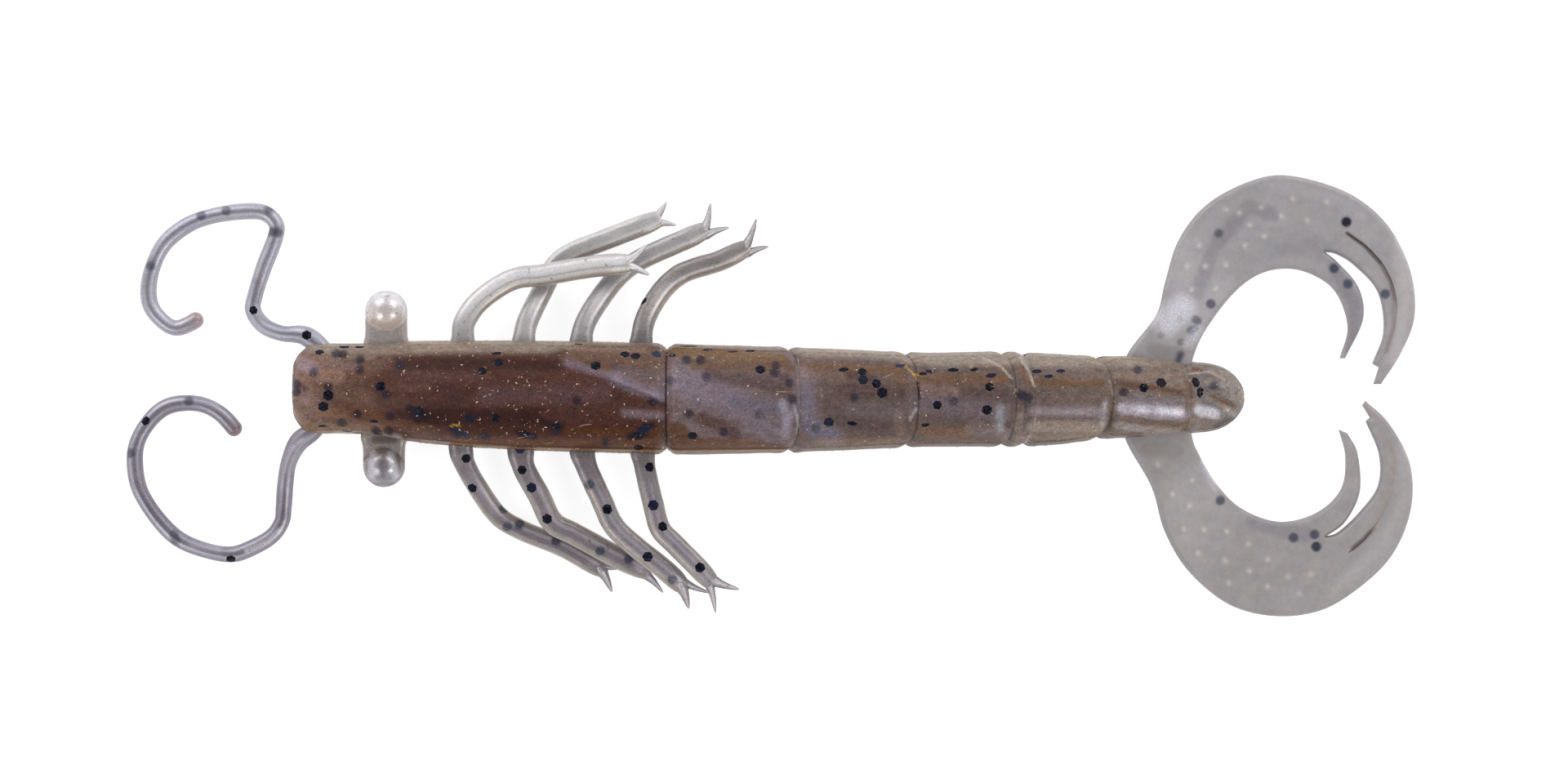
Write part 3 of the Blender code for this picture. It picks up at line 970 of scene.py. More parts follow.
@dataclass(frozen=True)
class Lobe:
    """A low mound on the last rings.

    Attributes:
        height: Millimetres in its middle.
        middle: Pixel of its middle.
        half: Half length and half width, in pixels.
        tilt: Degrees that its length is turned, anticlockwise from +X.
    """

    height: float
    middle: tuple[float, float]
    half: tuple[float, float]
    tilt: float

    def rise(self, places: Array) -> Array:
        """The height times the square of 1 less the squared share of the way to its edge."""
        off = (places[:, :2] - PHOTO.plan(self.middle)) / PHOTO.mm_per_pixel
        turn = math.radians(self.tilt)
        along = off[:, 0] * math.cos(turn) + off[:, 1] * math.sin(turn)
        across = off[:, 1] * math.cos(turn) - off[:, 0] * math.sin(turn)
        share = (along / self.half[0]) ** 2 + (across / self.half[1]) ** 2
        return self.height * np.clip(1 - share, 0.0, 1.0) ** 2


@dataclass(frozen=True)
class Crease:
    """A shallow valley on the last rings, along pixels of the photograph."""

    depth: float
    path: Pixels
    width: float

    def rise(self, places: Array) -> Array:
        """Less the depth times a bell of the distance to the path."""
        gap, _ = nearest_on_line(places[:, :2], PHOTO.plan(self.path))
        return -self.depth * hump(gap, self.width)


# Colour laid over the body's shades, in order: patches, and what strokes are made of. The strokes marked as
# painted are highlights, sheen or shade.
BODY_STROKES = (
    # Head: a dark core, with clearer plastic above it and a warm band under it
    Patch(
        (
            462, 460, 492, 437, 560, 435, 650, 435, 705, 442, 741, 458, 776, 475, 816, 490, 816, 540,
            700, 541, 560, 536, 500, 526, 466, 505,
        ),
        (82, 52, 44), 0.9, 12,
    ),
    ((495, 446, 560, 446, 690, 447), 11, (58, 34, 28), 0.85),
    ((505, 462, 600, 464), 10, (94, 66, 62), 0.6),
    # Painted sheen: a paler band along the middle of the head
    ((600, 484, 740, 482), 18, (98, 71, 71), 0.75),
    ((545, 478, 566, 490), 10, (72, 48, 50), 0.6),
    ((520, 508, 600, 511, 660, 511), 17, (54, 28, 24), 0.9),
    ((670, 510, 800, 520), 14, (76, 44, 37), 0.7),
    ((500, 508, 560, 512), 15, (58, 32, 25), 0.75),
    ((560, 526, 800, 527), 11, (68, 36, 21), 0.85),
    Patch((560, 537, 700, 538, 812, 538, 812, 552, 560, 552), (98, 64, 40), 0.9, 5),
    ((700, 527, 812, 530), 9, (92, 54, 28), 0.7),
    ((450, 510, 530, 528), 12, (98, 68, 50), 0.7),
    ((375, 525, 470, 532), 14, (130, 104, 76), 0.7),
    ((768, 505, 812, 508), 9, (120, 98, 97), 0.8, 1.0),
    # Pale rim of clearer plastic along the right side
    Patch(
        (
            355, 410, 1530, 410, 1530, 462, 1500, 449, 1470, 443, 1440, 445, 1400, 449, 1360, 450,
            1345, 450, 1262, 450, 1245, 447, 1150, 449, 1112, 445, 1090, 440, 985, 436, 960, 427,
            830, 423, 720, 424, 690, 428, 672, 432, 560, 432, 470, 434, 400, 432, 370, 430,
        ),
        (147, 134, 121), 0.9, 10,
    ),
    Patch((690, 440, 700, 430, 725, 425, 816, 425, 816, 488, 776, 474, 741, 457), (108, 83, 70), 0.9, 10),
    ((425, 430, 560, 427, 650, 428), 7, (138, 120, 109), 0.7, 1.0),
    ((400, 438, 462, 438), 6, (128, 109, 100), 0.7, 1.0),
    ((755, 450, 812, 462), 12, (104, 88, 90), 0.8, 1.0),
    ((700, 427, 790, 429), 6, (142, 123, 111), 0.6, 1.0),
    ((722, 446, 764, 449), 7, (88, 66, 56), 0.6),
    ((694, 445, 712, 448, 745, 459), 6, (108, 91, 98), 0.5, 1.0),
    ((756, 463, 780, 474, 814, 484), 13, (132, 120, 134), 0.8, 1.0),
    ((750, 467, 790, 482, 816, 495), 3, (52, 36, 40), 0.7),
    # Dark smears and a golden splash near the left side
    ((508, 500, 522, 508), 8, (22, 15, 20), 0.8),
    ((516, 516, 534, 508), 5, (38, 24, 24), 0.7),
    ((558, 525, 576, 533), 6, (30, 32, 60), 0.85),
    ((640, 530, 657, 534), 6, (12, 8, 12), 0.9),
    ((774, 534, 792, 530), 7, (16, 14, 24), 0.85),
    ((788, 526, 802, 519), 5, (20, 16, 24), 0.7),
    ((557, 521, 563, 520, 567, 521), 1.4, (222, 168, 48), 0.8),
    ((562, 517, 563, 523), 1.1, (222, 168, 48), 0.7),
    ((668, 516, 690, 522), 8, (40, 22, 20), 0.7),
    # Second segment: olive and gold above, lavender below
    ((826, 430, 900, 434, 956, 440), 11, (118, 92, 63), 0.9),
    ((850, 446, 950, 450), 9, (108, 82, 62), 0.8),
    ((828, 466, 880, 484, 900, 494), 26, (122, 106, 113), 0.75),
    ((870, 460, 930, 468, 962, 476), 12, (94, 75, 73), 0.85),
    ((900, 492, 930, 498, 956, 496), 12, (100, 90, 98), 0.8),
    ((860, 512, 890, 522, 900, 532), 12, (86, 62, 56), 0.75),
    Patch((821, 516, 840, 518, 850, 534, 962, 540, 960, 552, 821, 553), (98, 65, 38), 0.85, 8),
    ((918, 520, 955, 532), 14, (124, 110, 120), 0.8),
    # Painted highlight at the second ring's end
    ((958, 494, 964, 512, 961, 532), 9, (162, 154, 165), 0.75, 1.0),
    ((940, 538, 966, 538), 7, (116, 103, 110), 0.7),
    ((962, 444, 969, 452), 7, (104, 76, 48), 0.8),
    # Third to sixth segments: a gold line under the pale rim
    ((985, 448, 1102, 453), 9, (112, 84, 56), 0.9, 1.0),
    ((986, 458, 1030, 462), 9, (116, 92, 78), 0.6),
    ((1038, 459, 1068, 463), 7, (76, 55, 44), 0.7),
    ((952, 460, 972, 462), 7, (88, 70, 68), 0.6),
    ((986, 484, 990, 520, 1020, 534), 15, (104, 98, 112), 0.7),
    ((1030, 476, 1098, 480), 12, (86, 64, 58), 0.6),
    ((1030, 512, 1080, 524), 13, (92, 74, 70), 0.7),
    ((1099, 505, 1104, 535), 9, (122, 101, 92), 0.75),
    ((1000, 542, 1095, 541), 8, (122, 101, 82), 0.8),
    ((1085, 456, 1104, 466), 8, (114, 86, 62), 0.8),
    ((1124, 464, 1228, 464), 11, (112, 81, 56), 0.9, 1.0),
    ((1128, 477, 1165, 480), 9, (136, 112, 103), 0.7),
    ((1180, 478, 1226, 482), 9, (92, 70, 64), 0.6),
    ((1128, 494, 1220, 504), 20, (108, 91, 94), 0.6),
    ((1124, 526, 1180, 530), 12, (122, 94, 74), 0.8),
    ((1188, 524, 1226, 530), 12, (128, 112, 107), 0.8),
    # Painted highlight at the fourth ring's end
    ((1222, 500, 1221, 526), 9, (172, 170, 174), 0.75, 1.0),
    ((1248, 452, 1256, 470), 8, (114, 86, 64), 0.8),
    ((1246, 482, 1256, 496), 8, (70, 58, 60), 0.8),
    ((1245, 512, 1246, 540), 11, (142, 126, 117), 0.7),
    ((1262, 467, 1346, 470), 11, (106, 78, 50), 0.9, 1.0),
    ((1264, 488, 1344, 490), 9, (118, 98, 90), 0.7),
    # Painted sheen along the fifth ring
    ((1262, 504, 1344, 505), 9, (152, 138, 140), 0.75, 1.0),
    ((1262, 522, 1340, 522), 11, (162, 147, 135), 0.8),
    ((1262, 536, 1340, 534), 8, (134, 119, 104), 0.8),
    # Painted highlight at the fifth ring's end
    ((1349, 494, 1347, 520), 7, (172, 168, 172), 0.75, 1.0),
    ((1362, 470, 1404, 473, 1442, 480), 8, (96, 70, 50), 0.9, 1.0),
    ((1365, 459, 1440, 462), 7, (128, 110, 98), 0.7),
    ((1372, 486, 1444, 493), 8, (130, 121, 124), 0.75),
    # Painted highlight along the sixth ring, brightest in two spots
    ((1372, 500, 1446, 506), 12, (190, 182, 192), 0.9, 0.8),
    ((1384, 500, 1400, 502), 6, (222, 218, 224), 0.8, 1.0),
    ((1414, 502, 1444, 506), 7, (236, 232, 236), 0.85, 1.0),
    ((1366, 520, 1400, 526), 7, (166, 157, 152), 0.7),
    ((1372, 511, 1410, 518, 1446, 520), 3.5, (122, 101, 88), 0.8),
    ((1405, 529, 1446, 532), 10, (172, 158, 152), 0.85),
    ((1264, 543, 1340, 541), 7, (96, 84, 74), 0.85),
    # Telson
    ((1455, 459, 1490, 463), 8, (110, 97, 89), 0.75),
    ((1460, 452, 1470, 454), 4.5, (112, 66, 44), 0.9),
    ((1452, 470, 1456, 484), 7, (108, 84, 68), 0.8),
    ((1466, 476, 1492, 480), 7, (112, 102, 104), 0.7),
    ((1495, 488, 1506, 493), 5, (104, 90, 82), 0.7, 1.0),
    ((1488, 523, 1508, 512), 8, (98, 93, 92), 0.85, 1.0),
    ((1482, 485, 1512, 499), 4, (110, 80, 56), 0.85, 1.0),
    ((1494, 494, 1499, 497), 3, (150, 108, 56), 0.8, 1.0),
    # Painted highlight on the telson's lower lobe
    ((1466, 502, 1486, 507), 10, (226, 222, 228), 0.95, 0.8),
    ((1500, 500, 1510, 508), 5, (190, 184, 184), 0.7, 1.0),
    # Pale and golden lines where the rings meet
    ((976, 440, 979, 470, 979, 505, 975, 530), 2.2, (154, 142, 134), 0.6),
    ((973, 498, 978, 522), 3, (176, 172, 176), 0.6),
    ((1104, 446, 1115, 456, 1122, 466), 2, (176, 140, 84), 0.8),
    ((1116, 459, 1126, 459), 1.6, (206, 164, 60), 0.8),
    ((1122, 469, 1124, 488), 2.5, (22, 16, 18), 0.8),
    ((1120, 500, 1112, 514), 2.5, (182, 176, 178), 0.7),
    ((1198, 437, 1222, 448, 1236, 464, 1241, 478), 2.2, (176, 164, 152), 0.7),
    ((1236, 466, 1240, 474), 3, (40, 30, 30), 0.7),
    ((1246, 437, 1257, 455, 1263, 473), 2.5, (182, 170, 160), 0.75),
    ((1264, 512, 1262, 526, 1255, 541), 2.5, (176, 164, 156), 0.6),
    ((1354, 462, 1359, 484), 2.5, (150, 130, 112), 0.6),
    ((1358, 503, 1356, 526), 3, (84, 66, 56), 0.7),
    ((1447, 464, 1450, 492, 1449, 524), 5, (120, 96, 78), 0.7),
    ((1452, 458, 1480, 455, 1497, 464), 2, (176, 166, 158), 0.7),
    # Mould seam low on the left side
    ((560, 545, 700, 547, 816, 549, 970, 548), 2.2, (60, 36, 22), 0.7),
    ((520, 539, 600, 547, 700, 550, 816, 552, 970, 551), 1.8, (146, 116, 80), 0.7),
    ((415, 534, 450, 534, 490, 537), 9, (182, 171, 168), 0.95, 1.0),
    ((484, 474, 528, 475), 8, (112, 81, 72), 0.5),
    ((390, 504, 424, 506), 9, (144, 112, 90), 0.6),
    ((437, 520, 470, 524), 9, (126, 100, 86), 0.6),
    # Nose, with two patches of painted sheen near its tip and painted shade along its blunt end
    # Painted sheen
    ((374, 444, 388, 450), 12, (146, 124, 126), 0.8),
    ((390, 447, 440, 449), 9, (128, 104, 98), 0.6),
    ((402, 460, 420, 462), 12, (146, 116, 103), 0.7),
    ((442, 474, 450, 490), 12, (112, 82, 70), 0.6),
    ((396, 504, 424, 506), 9, (136, 104, 84), 0.7),
    ((372, 474, 378, 476), 8, (92, 72, 72), 0.7),
    # Painted sheen
    ((380, 488, 388, 496), 13, (142, 117, 112), 0.7),
    # Painted shade along the blunt end
    ((364, 446, 362, 500), 5, (58, 48, 54), 0.85),
    ((420, 500, 470, 508), 12, (104, 70, 50), 0.6),
    ((404, 490, 420, 492), 8, (88, 68, 64), 0.6),
)
# Pearl dust in the body. The runs at the nose, at the end of the second ring, along the fifth and sixth rings
# and on the telson lie where sheen shows, so there the dust is partly painted highlight.
BODY_PEARL_AND_SHEEN = (
    dust((700, 446, 741, 458, 776, 474, 814, 487), 9, 0.3),
    dust((760, 458, 812, 468), 15, 0.12),
    dust((768, 505, 812, 509), 9, 0.2),
    dust((962, 498, 967, 526), 9, 0.3),
    dust((830, 468, 900, 492, 960, 508), 32, 0.28),
    dust((985, 460, 992, 520, 1020, 534), 24, 0.28),
    dust((1040, 500, 1100, 505), 20, 0.18),
    dust((1118, 492, 1226, 506), 22, 0.2),
    dust((1262, 500, 1344, 504), 14, 0.25),
    dust((1376, 500, 1446, 508), 12, 0.5),
    dust((1466, 502, 1486, 507), 10, 0.5),
    dust((1468, 466, 1502, 474), 10, 0.15),
    dust((376, 447, 390, 452), 12, 0.2),
)
# Flakes at the body's surface
BODY_CRISP = (
    408, 483, 402, 498, 471, 474, 520, 503, 594.5, 455, 614, 445, 581.5, 513, 613, 511, 684, 521,
    646, 532, 733, 448, 766, 434, 779, 436.5, 806, 434, 791.5, 524, 782, 534, 849, 533, 930, 452,
    1013, 516, 1055, 455.5, 1056, 466, 1071, 469, 1079, 480, 1144, 495, 1204, 502.5, 1419, 468,
    1394.5, 474, 1461, 468, 1468, 480.5, 397, 431, 782, 547, 1210, 474,
)
# Flakes near its rims, seen nearly edge-on
BODY_THIN = (
    611, 433, 711, 422, 824, 436, 840, 424, 848, 424, 868, 429, 899, 431, 918, 430, 1100, 448,
    1128, 458, 1137, 456, 1165, 454, 1191, 453, 1210, 459, 1031, 452, 1266, 455, 1281, 461, 1296, 455,
    424, 425, 444, 425, 429, 528, 399, 521, 461, 516, 441, 530, 466, 531, 652, 533, 1130, 520,
    1043, 518,
)
# Flakes deeper in it, which look blurred and bluish
BODY_DEEP = (
    446, 441, 446, 453, 416, 433, 424, 434, 390, 456, 369, 470, 369, 480, 408, 474, 479, 483, 495, 447,
    423, 517, 464, 527, 480, 527, 483, 509, 443, 507, 598, 534, 564, 531, 710, 490, 842, 441,
    801.5, 492, 744, 541, 859, 441, 950, 448, 948, 457, 967, 469, 970, 489, 866, 462, 930, 507,
    887, 528.5, 822.5, 466, 998, 524, 1045, 487, 845.5, 506, 1248, 484, 1256, 486, 1165, 492,
    1389.5, 453, 1372, 480.5, 1485, 472, 516, 509, 786, 528, 684, 527,
)


@dataclass
class Body:
    """The ringed body: blunt nose, smooth head, six rings and a rounded telson.

    Attributes:
        stations: x, half width in plan, and how far the middle lies to +Y.
        grooves: The grooves between the rings.
        belly_to_widest: Height of the widest part over the table, as a share of the half width.
        widest_to_back: Height of the back over the widest part, as a share of the half width.
        belly_cut: How full the belly is, before it is cut flat at the table.
        nose_x: Where the nose ends.
        tail_x: Where the telson ends.
        nose_round: Length and width of the nose's rounded edge.
        telson_x: Where the telson starts to round off.
        telson_power: How blunt it is.
        telson_drop: Where it gets lower, over what length, and the share that it loses.
        groove_width: Width of a groove's bell.
        bow_shape: Power of the back's rise by which a ring leans forward.
        sides: Points round a ring.
        ring_spacing: Distance between rings of points.
        groove_spacing: The same in the grooves.
        cut_depth: Depth of the thin cut in a groove.
        cut_width: Its width.
        seam_angle: The mould seam's angle up from the widest part.
        tail_forms: Lobes and creases of the last rings.
        shades: Colour along the middle of the back: pixel x, and screen colour.
        deep_shade: Screen colour of the deep flakes.
        hidden_flakes: Flakes on the sides, where they don't show in the photograph.
        straight_part: How far from the middle they reach.
        speckled_part: Where the loose threads and specks lie three times as thick.
        thinness: Width of the thin flakes against the others.
        loose: Threads and specks.
    """

    stations: Points = (
        (-42.3, 4.1, 0.9), (-39.0, 4.0, 1.0), (-35.9, 4.05, 0.95), (-31.9, 4.45, 0.75), (-24.2, 4.8, 0.45),
        (-15.5, 4.9, 0.25), (-7.9, 4.9, 0.05), (-1.4, 4.75, 0.0), (7.3, 4.45, 0.0), (12.6, 4.2, 0.0),
        (19.3, 4.2, 0.05), (25.8, 4.0, 0.05), (29.3, 3.65, 0.2), (31.3, 3.65, 0.25), (37.5, 3.15, 0.2),
        (42.15, 3.05, 0.2),
    )
    grooves: tuple[Groove, ...] = (
        Groove(-9.2, 0.0, 0.4, 1.0),
        Groove(2.6, 1.25, 0.3, 0.55),
        Groove(13.0, 1.3, 0.3, 0.6),
        Groove(21.6, 1.4, 0.25, 0.35),
        Groove(23.2, 1.0, 0.25, 0.2),
        Groove(30.2, 1.7, 0.3, 0.35),
        Groove(37.1, 0.9, 0.15, 0.3),
    )
    belly_to_widest: float = 0.79
    widest_to_back: float = 0.97
    belly_cut: float = 1.25
    nose_x: float = -42.3
    tail_x: float = 42.15
    nose_round: tuple[float, float] = (2.2, 2.4)
    telson_x: float = 38.2
    telson_power: float = 2.2
    telson_drop: tuple[float, float, float] = (36.6, 2.0, 0.35)
    groove_width: float = 0.55
    bow_shape: float = 0.6
    sides: int = 168
    ring_spacing: float = 0.23
    groove_spacing: float = 0.07
    cut_depth: float = 0.09
    cut_width: float = 0.09
    seam_angle: float = math.radians(26)
    tail_forms: tuple[Lobe | Crease, ...] = (
        Lobe(0.3, (1481, 472), (33, 19), -12),
        Lobe(0.2, (1482, 508), (30, 15), 4),
        Crease(0.18, (1486, 484, 1500, 491, 1516, 499), 0.2),
        Lobe(0.22, (1412, 506), (45, 12), -7),
        Crease(0.12, (1380, 509, 1420, 519, 1452, 518), 0.14),
        Lobe(0.12, (1410, 474), (42, 9), -10),
    )
    shades: tuple[tuple[float, Colour], ...] = (
        (365, (138, 111, 100)), (430, (106, 80, 68)), (560, (80, 52, 44)), (770, (90, 62, 52)),
        (840, (122, 105, 105)), (1050, (100, 83, 76)), (1250, (102, 88, 81)), (1440, (124, 110, 100)),
        (1515, (150, 142, 136)),
    )
    deep_shade: Colour = (34, 30, 46)
    hidden_flakes: int = 70
    straight_part: float = 39.0
    speckled_part: tuple[float, float] = (-33.0, -9.5)
    thinness: float = 0.45
    loose: tuple[SpeckMix, ...] = (
        SpeckMix(
            "threads", 21, 330, (0.08, 0.19), 0.034, 1.1,
            ((212, 186, 165), (180, 147, 126), (190, 146, 64)), (0.5, 0.44, 0.06),
        ),
        SpeckMix(
            "long_threads", 23, 16, (0.35, 0.65), 0.026, 0.3, ((198, 168, 146), (190, 152, 84)), (0.8, 0.2)
        ),
        SpeckMix("specks", 22, 360, (0.07, 0.13), 0.05, 0.4, ((228, 208, 192), (202, 172, 154)), (0.5, 0.5)),
        SpeckMix("grit", 24, 900, (0.04, 0.08), 0.035, 0.0, ((190, 162, 146), (156, 124, 108)), (0.4, 0.6)),
    )

    def table(self) -> Array:
        """The stations as an array."""
        return np.array(self.stations)

    def end_share(self, x: Array) -> Array:
        """How much of the full section is left where the nose and the telson round off.

        The nose loses a quarter ellipse, and the telson falls as the root of 1 less a power of the way
        along it.

        Args:
            x: Where to read.

        Returns:
            The share at each x.
        """
        half = smooth_through(x, self.table(), 1)
        length, width = self.nose_round
        from_nose = np.clip((x - self.nose_x) / length, 0.0, 1.0)
        nose = 1 - width / half * (1 - np.sqrt(1 - (1 - from_nose) ** 2))
        along = np.clip((x - self.telson_x) / (self.tail_x - self.telson_x), 0.0, 1.0)
        return nose * np.sqrt(1 - along**self.telson_power)

    def surface(self, ridge_x: Array, angle: Array) -> Array:
        """Points of the skin, from the x of a ring on the back and the angle round it.

        A ring leans forward at its sides by its groove's bow. Its back is a half ellipse, its belly a
        fuller one that is cut flat at the table, and each groove takes a bell of depth off both.

        Args:
            ridge_x: The ring's x on the back.
            angle: From +Y over the back.

        Returns:
            The points.
        """
        at = np.array([groove.x for groove in self.grooves])
        bows = (0, *(groove.bow for groove in self.grooves), 0)
        bow = np.interp(ridge_x, (self.nose_x, *at, self.tail_x), bows)
        rise = np.sin(angle)
        x = ridge_x - bow * (1 - np.clip(rise, 0.0, 1.0) ** self.bow_shape)
        groove = hump(ridge_x[..., None] - at, self.groove_width) @ [groove.depth for groove in self.grooves]
        full = smooth_through(x, self.table(), 1)
        start, length, drop = self.telson_drop
        lowered = 1 - drop * smooth_step((x - start) / length)
        widest = self.belly_to_widest * full * lowered
        share = self.end_share(x)
        y = smooth_through(x, self.table(), 2) + (full * share - groove) * np.cos(angle)
        back = self.widest_to_back * full * lowered * share - groove
        belly = np.maximum(widest * (1 + self.belly_cut * share * rise), 0.0)
        z = np.where(rise >= 0, widest + back * rise, np.minimum(belly, widest))
        return np.stack((x, y, z), axis=-1)

    def ring_places(self) -> Array:
        """Where the rings lie on the back: close in the grooves, and closer still at the round ends.

        The spacing's inverse is summed along the body, and the rings share out the sum evenly.
        """
        x = np.linspace(self.nose_x + 0.001, self.tail_x - 0.01, 20000)
        density = np.full_like(x, 1 / self.ring_spacing)
        for groove in self.grooves:
            density += (1 / self.groove_spacing - 1 / self.ring_spacing) * hump(x - groove.x, 0.4)
        density += 12 * hump(x - self.nose_x, 0.3) + 60 * hump(x - self.tail_x, 0.12)
        total = np.append(0.0, np.cumsum(density[:-1] * np.diff(x)))
        return np.interp(np.linspace(0, total[-1], round(total[-1])), total, x)

    def relief(self, places: Array, ridge_x: Array, angle: Array) -> Array:
        """Fine relief on the skin, outwards: cuts in the grooves, the mould's seam, lobes and creases.

        Args:
            places: Points of the plain skin.
            ridge_x: Each point's ring.
            angle: Each point's angle round the ring.

        Returns:
            How far each point moves out.
        """
        upper = smooth_step(np.sin(angle) * 4)
        rise = 0.02 * waviness(places, 7.0) + 0.008 * waviness(places, 2.3)
        for groove in self.grooves:
            rise -= self.cut_depth * (0.4 + groove.line) * hump(ridge_x - groove.x, self.cut_width)
            rise += 0.05 * hump(ridge_x - groove.x - 0.75, 0.45) + 0.07 * hump(ridge_x - groove.x + 0.8, 0.5)
        for seam in (self.seam_angle, math.pi - self.seam_angle):
            rise += 0.05 * hump(angle - seam + math.copysign(0.05, math.pi / 2 - seam), 0.03)
            rise -= 0.03 * hump(angle - seam, 0.02)
        return rise + sum(form.rise(places) for form in self.tail_forms) * upper

    def dress(self, shell: Shell, ridge_x: Array, angle: Array) -> None:
        """Keeps the tint, the pearl and the moulded lines at the points of the skin.

        The tint runs between the shades along the back, with the strokes laid over it; some of them are
        painted highlights, sheen and shade. Deep flakes are dots of a bluish shade. The pearl dust is partly
        painted sheen as well.

        Args:
            shell: The skin.
            ridge_x: Each point's ring.
            angle: Each point's angle round the ring.
        """
        points = shell.points
        at = PHOTO.plan([(x, 0) for x, _ in self.shades])[:, 0]
        stops = linear([colour for _, colour in self.shades])
        tint = np.column_stack([np.interp(points[:, 0], at, stops[:, k]) for k in range(3)])
        shown = smooth_step(0.5 + np.sin(angle) * 2)
        strokes = [Stroke(*row) if isinstance(row, tuple) else row for row in BODY_STROKES]
        tint = paint(tint, points, strokes, shown)
        tint = paint(tint, points, dots(BODY_DEEP, 7.5, self.deep_shade, 0.8, 0.5), shown)
        pearl = 0.015 + 0.045 * smooth_step((points[:, 0] + 8) / 12)
        pearl = gather(pearl, points, BODY_PEARL_AND_SHEEN, shown)
        gaps = ridge_x[:, None] - np.array([groove.x for groove in self.grooves])
        nearest = np.abs(gaps).argmin(axis=1)
        shell.values = {
            "tint": tint,
            "pearl": pearl,
            "line": gaps[np.arange(len(gaps)), nearest],
            "line_strength": np.array([groove.line for groove in self.grooves])[nearest] * shown,
        }

    def build(self, finishes: Finishes) -> None:
        """Builds the body, its flakes and its threads."""
        places = self.ring_places()
        angles = np.arange(self.sides) * 2 * math.pi / self.sides
        ridge_x, angle = np.meshgrid(places, angles, indexing="ij")
        shell = Shell.from_rings(self.surface(ridge_x, angle))
        ends = (places[0], places[-1])
        ridge_x = np.append(ridge_x.ravel(), ends)
        angle = np.append(angle.ravel(), (math.pi / 2, math.pi / 2))
        shell.points = shell.points + shell.normals() * self.relief(shell.points, ridge_x, angle)[:, None]
        shell.points[:, 2] = np.maximum(shell.points[:, 2], 0.0)
        self.dress(shell, ridge_x, angle)
        shell.build("lure_body", finishes.body, Slot.BODY, "body")
        self.add_flakes(Skin.of(shell), finishes)

    def add_flakes(self, skin: Skin, finishes: Finishes) -> None:
        """Lays the flakes in the skin, those on the sides by chance, and scatters threads and specks.

        Args:
            skin: The body's skin.
            finishes: The lure's materials.
        """
        x, height = skin.points[:, 0], skin.points[:, 2]
        on_sides = (skin.out[:, 2] < 0.1) & (height > 0.2) & (np.abs(x) < self.straight_part)
        draw = np.random.default_rng(11)
        hidden = draw.choice(np.flatnonzero(on_sides), self.hidden_flakes, replace=False)
        flakes = lay_flakes(skin, np.concatenate((skin.under(BODY_CRISP), hidden)), 5)
        thin = lay_flakes(skin, skin.under(BODY_THIN), 6, self.thinness)
        Shell.join([flakes, thin]).build("body_flakes", finishes.flake, Slot.BODY)
        start, end = self.speckled_part
        chance = (height > 0.3) * np.where((x > start) & (x < end), 3.0, 1.0)
        for mixed in self.loose:
            mixed.scatter(skin, chance).build(f"body_{mixed.name}", finishes.thread, Slot.BODY)


@dataclass
class Eye:
    """An eye: a ball that stands out of both faces of a flat stalk with a round end.

    Attributes:
        side: Its side.
        middle: The ball's middle in plan.
        root_y: Where the stalk starts, inside the body.
        tint: Screen colour of the ball's outer half.
        warm: Screen colour of the half towards the body, a painted reflection of the body's brown.
        stalk_tint: Of the stalk.
        strokes: Colour over them.
        pearls: Pearl dust.
        ball_radius: The ball's radius.
        stalk_width: Half the stalk's width, and its end's radius.
        stalk_height: Half its thickness.
        height: Height of the ball's middle and of the stalk's.
    """

    side: Side
    middle: tuple[float, float]
    root_y: float
    tint: Colour
    warm: Colour
    stalk_tint: Colour
    strokes: tuple[Stroke, ...]
    pearls: tuple[Stroke, ...] = ()
    ball_radius: float = 1.84
    stalk_width: float = 1.85
    stalk_height: float = 0.84
    height: float = 3.5

    def stalk(self) -> Array:
        """The stalk as a squarish section carried out from the body, with a half-round end in plan."""
        x, y = self.middle
        sign = self.side.value
        length = (y - self.root_y) * sign
        round_end = length + self.stalk_width * np.sin(np.linspace(0, 1.54, 26)[1:])
        along = np.concatenate((np.linspace(0, length, 40), round_end))
        share = np.sqrt(1 - np.clip((along - length) / self.stalk_width, 0, 1) ** 2)
        level = np.full_like(along, self.height)
        route = np.column_stack((np.full_like(along, x), self.root_y + sign * along, level))
        flare = 1 + 0.12 * hump(along - 2.3, 0.6)
        thick = self.stalk_height * np.sqrt(np.clip(share * 1.6, 0.0, 1.0))
        return carry(route, self.stalk_width * share * flare, thick, ring_section(64, 4.0))

    def ball(self) -> Array:
        """The ball: rings of constant height from its lowest point to its highest."""
        x, y = self.middle
        lean = np.linspace(0.02, math.pi - 0.02, 48)
        turn = np.arange(72) * 2 * math.pi / 72
        radius = self.ball_radius * np.sin(lean)[:, None]
        grid = np.empty((48, 72, 3))
        grid[..., 0] = x + radius * np.cos(turn)
        grid[..., 1] = y + radius * np.sin(turn)
        grid[..., 2] = self.height - self.ball_radius * np.cos(lean)[:, None]
        return grid

    def build(self, finishes: Finishes) -> None:
        """Builds the eye, with the body's brown painted as a reflection on its half towards the body, and
        painted shade down its sides.
        """
        shell = Shell.join([Shell.from_rings(self.stalk()), Shell.from_rings(self.ball())])
        shell.points = shell.points + shell.normals() * (0.012 * waviness(shell.points, 1.7))[:, None]
        body_reflection_share = smooth_step(0.5 - (shell.points[:, 1] - self.middle[1]) * self.side.value / 2.2)
        # Painted reflection of the brown body on the half that faces it
        tint = mix(linear(self.tint), self.warm, body_reflection_share)
        from_middle = np.linalg.norm(shell.points - (*self.middle, self.height), axis=1) / self.ball_radius
        tint = np.where(np.abs(from_middle - 1)[:, None] < 0.07, tint, linear(self.stalk_tint))
        tint = paint(tint, shell.points, self.strokes)
        pearl = gather(0.05 * (1 - body_reflection_share), shell.points, self.pearls)
        # Painted shade down the sides
        shell.values = {"tint": paint_side_shade(tint, shell, 0.6), "pearl": pearl}
        shell.build(f"{self.side.word}_eye", finishes.eye, Slot.LIMB, f"eye_{self.side.word}")


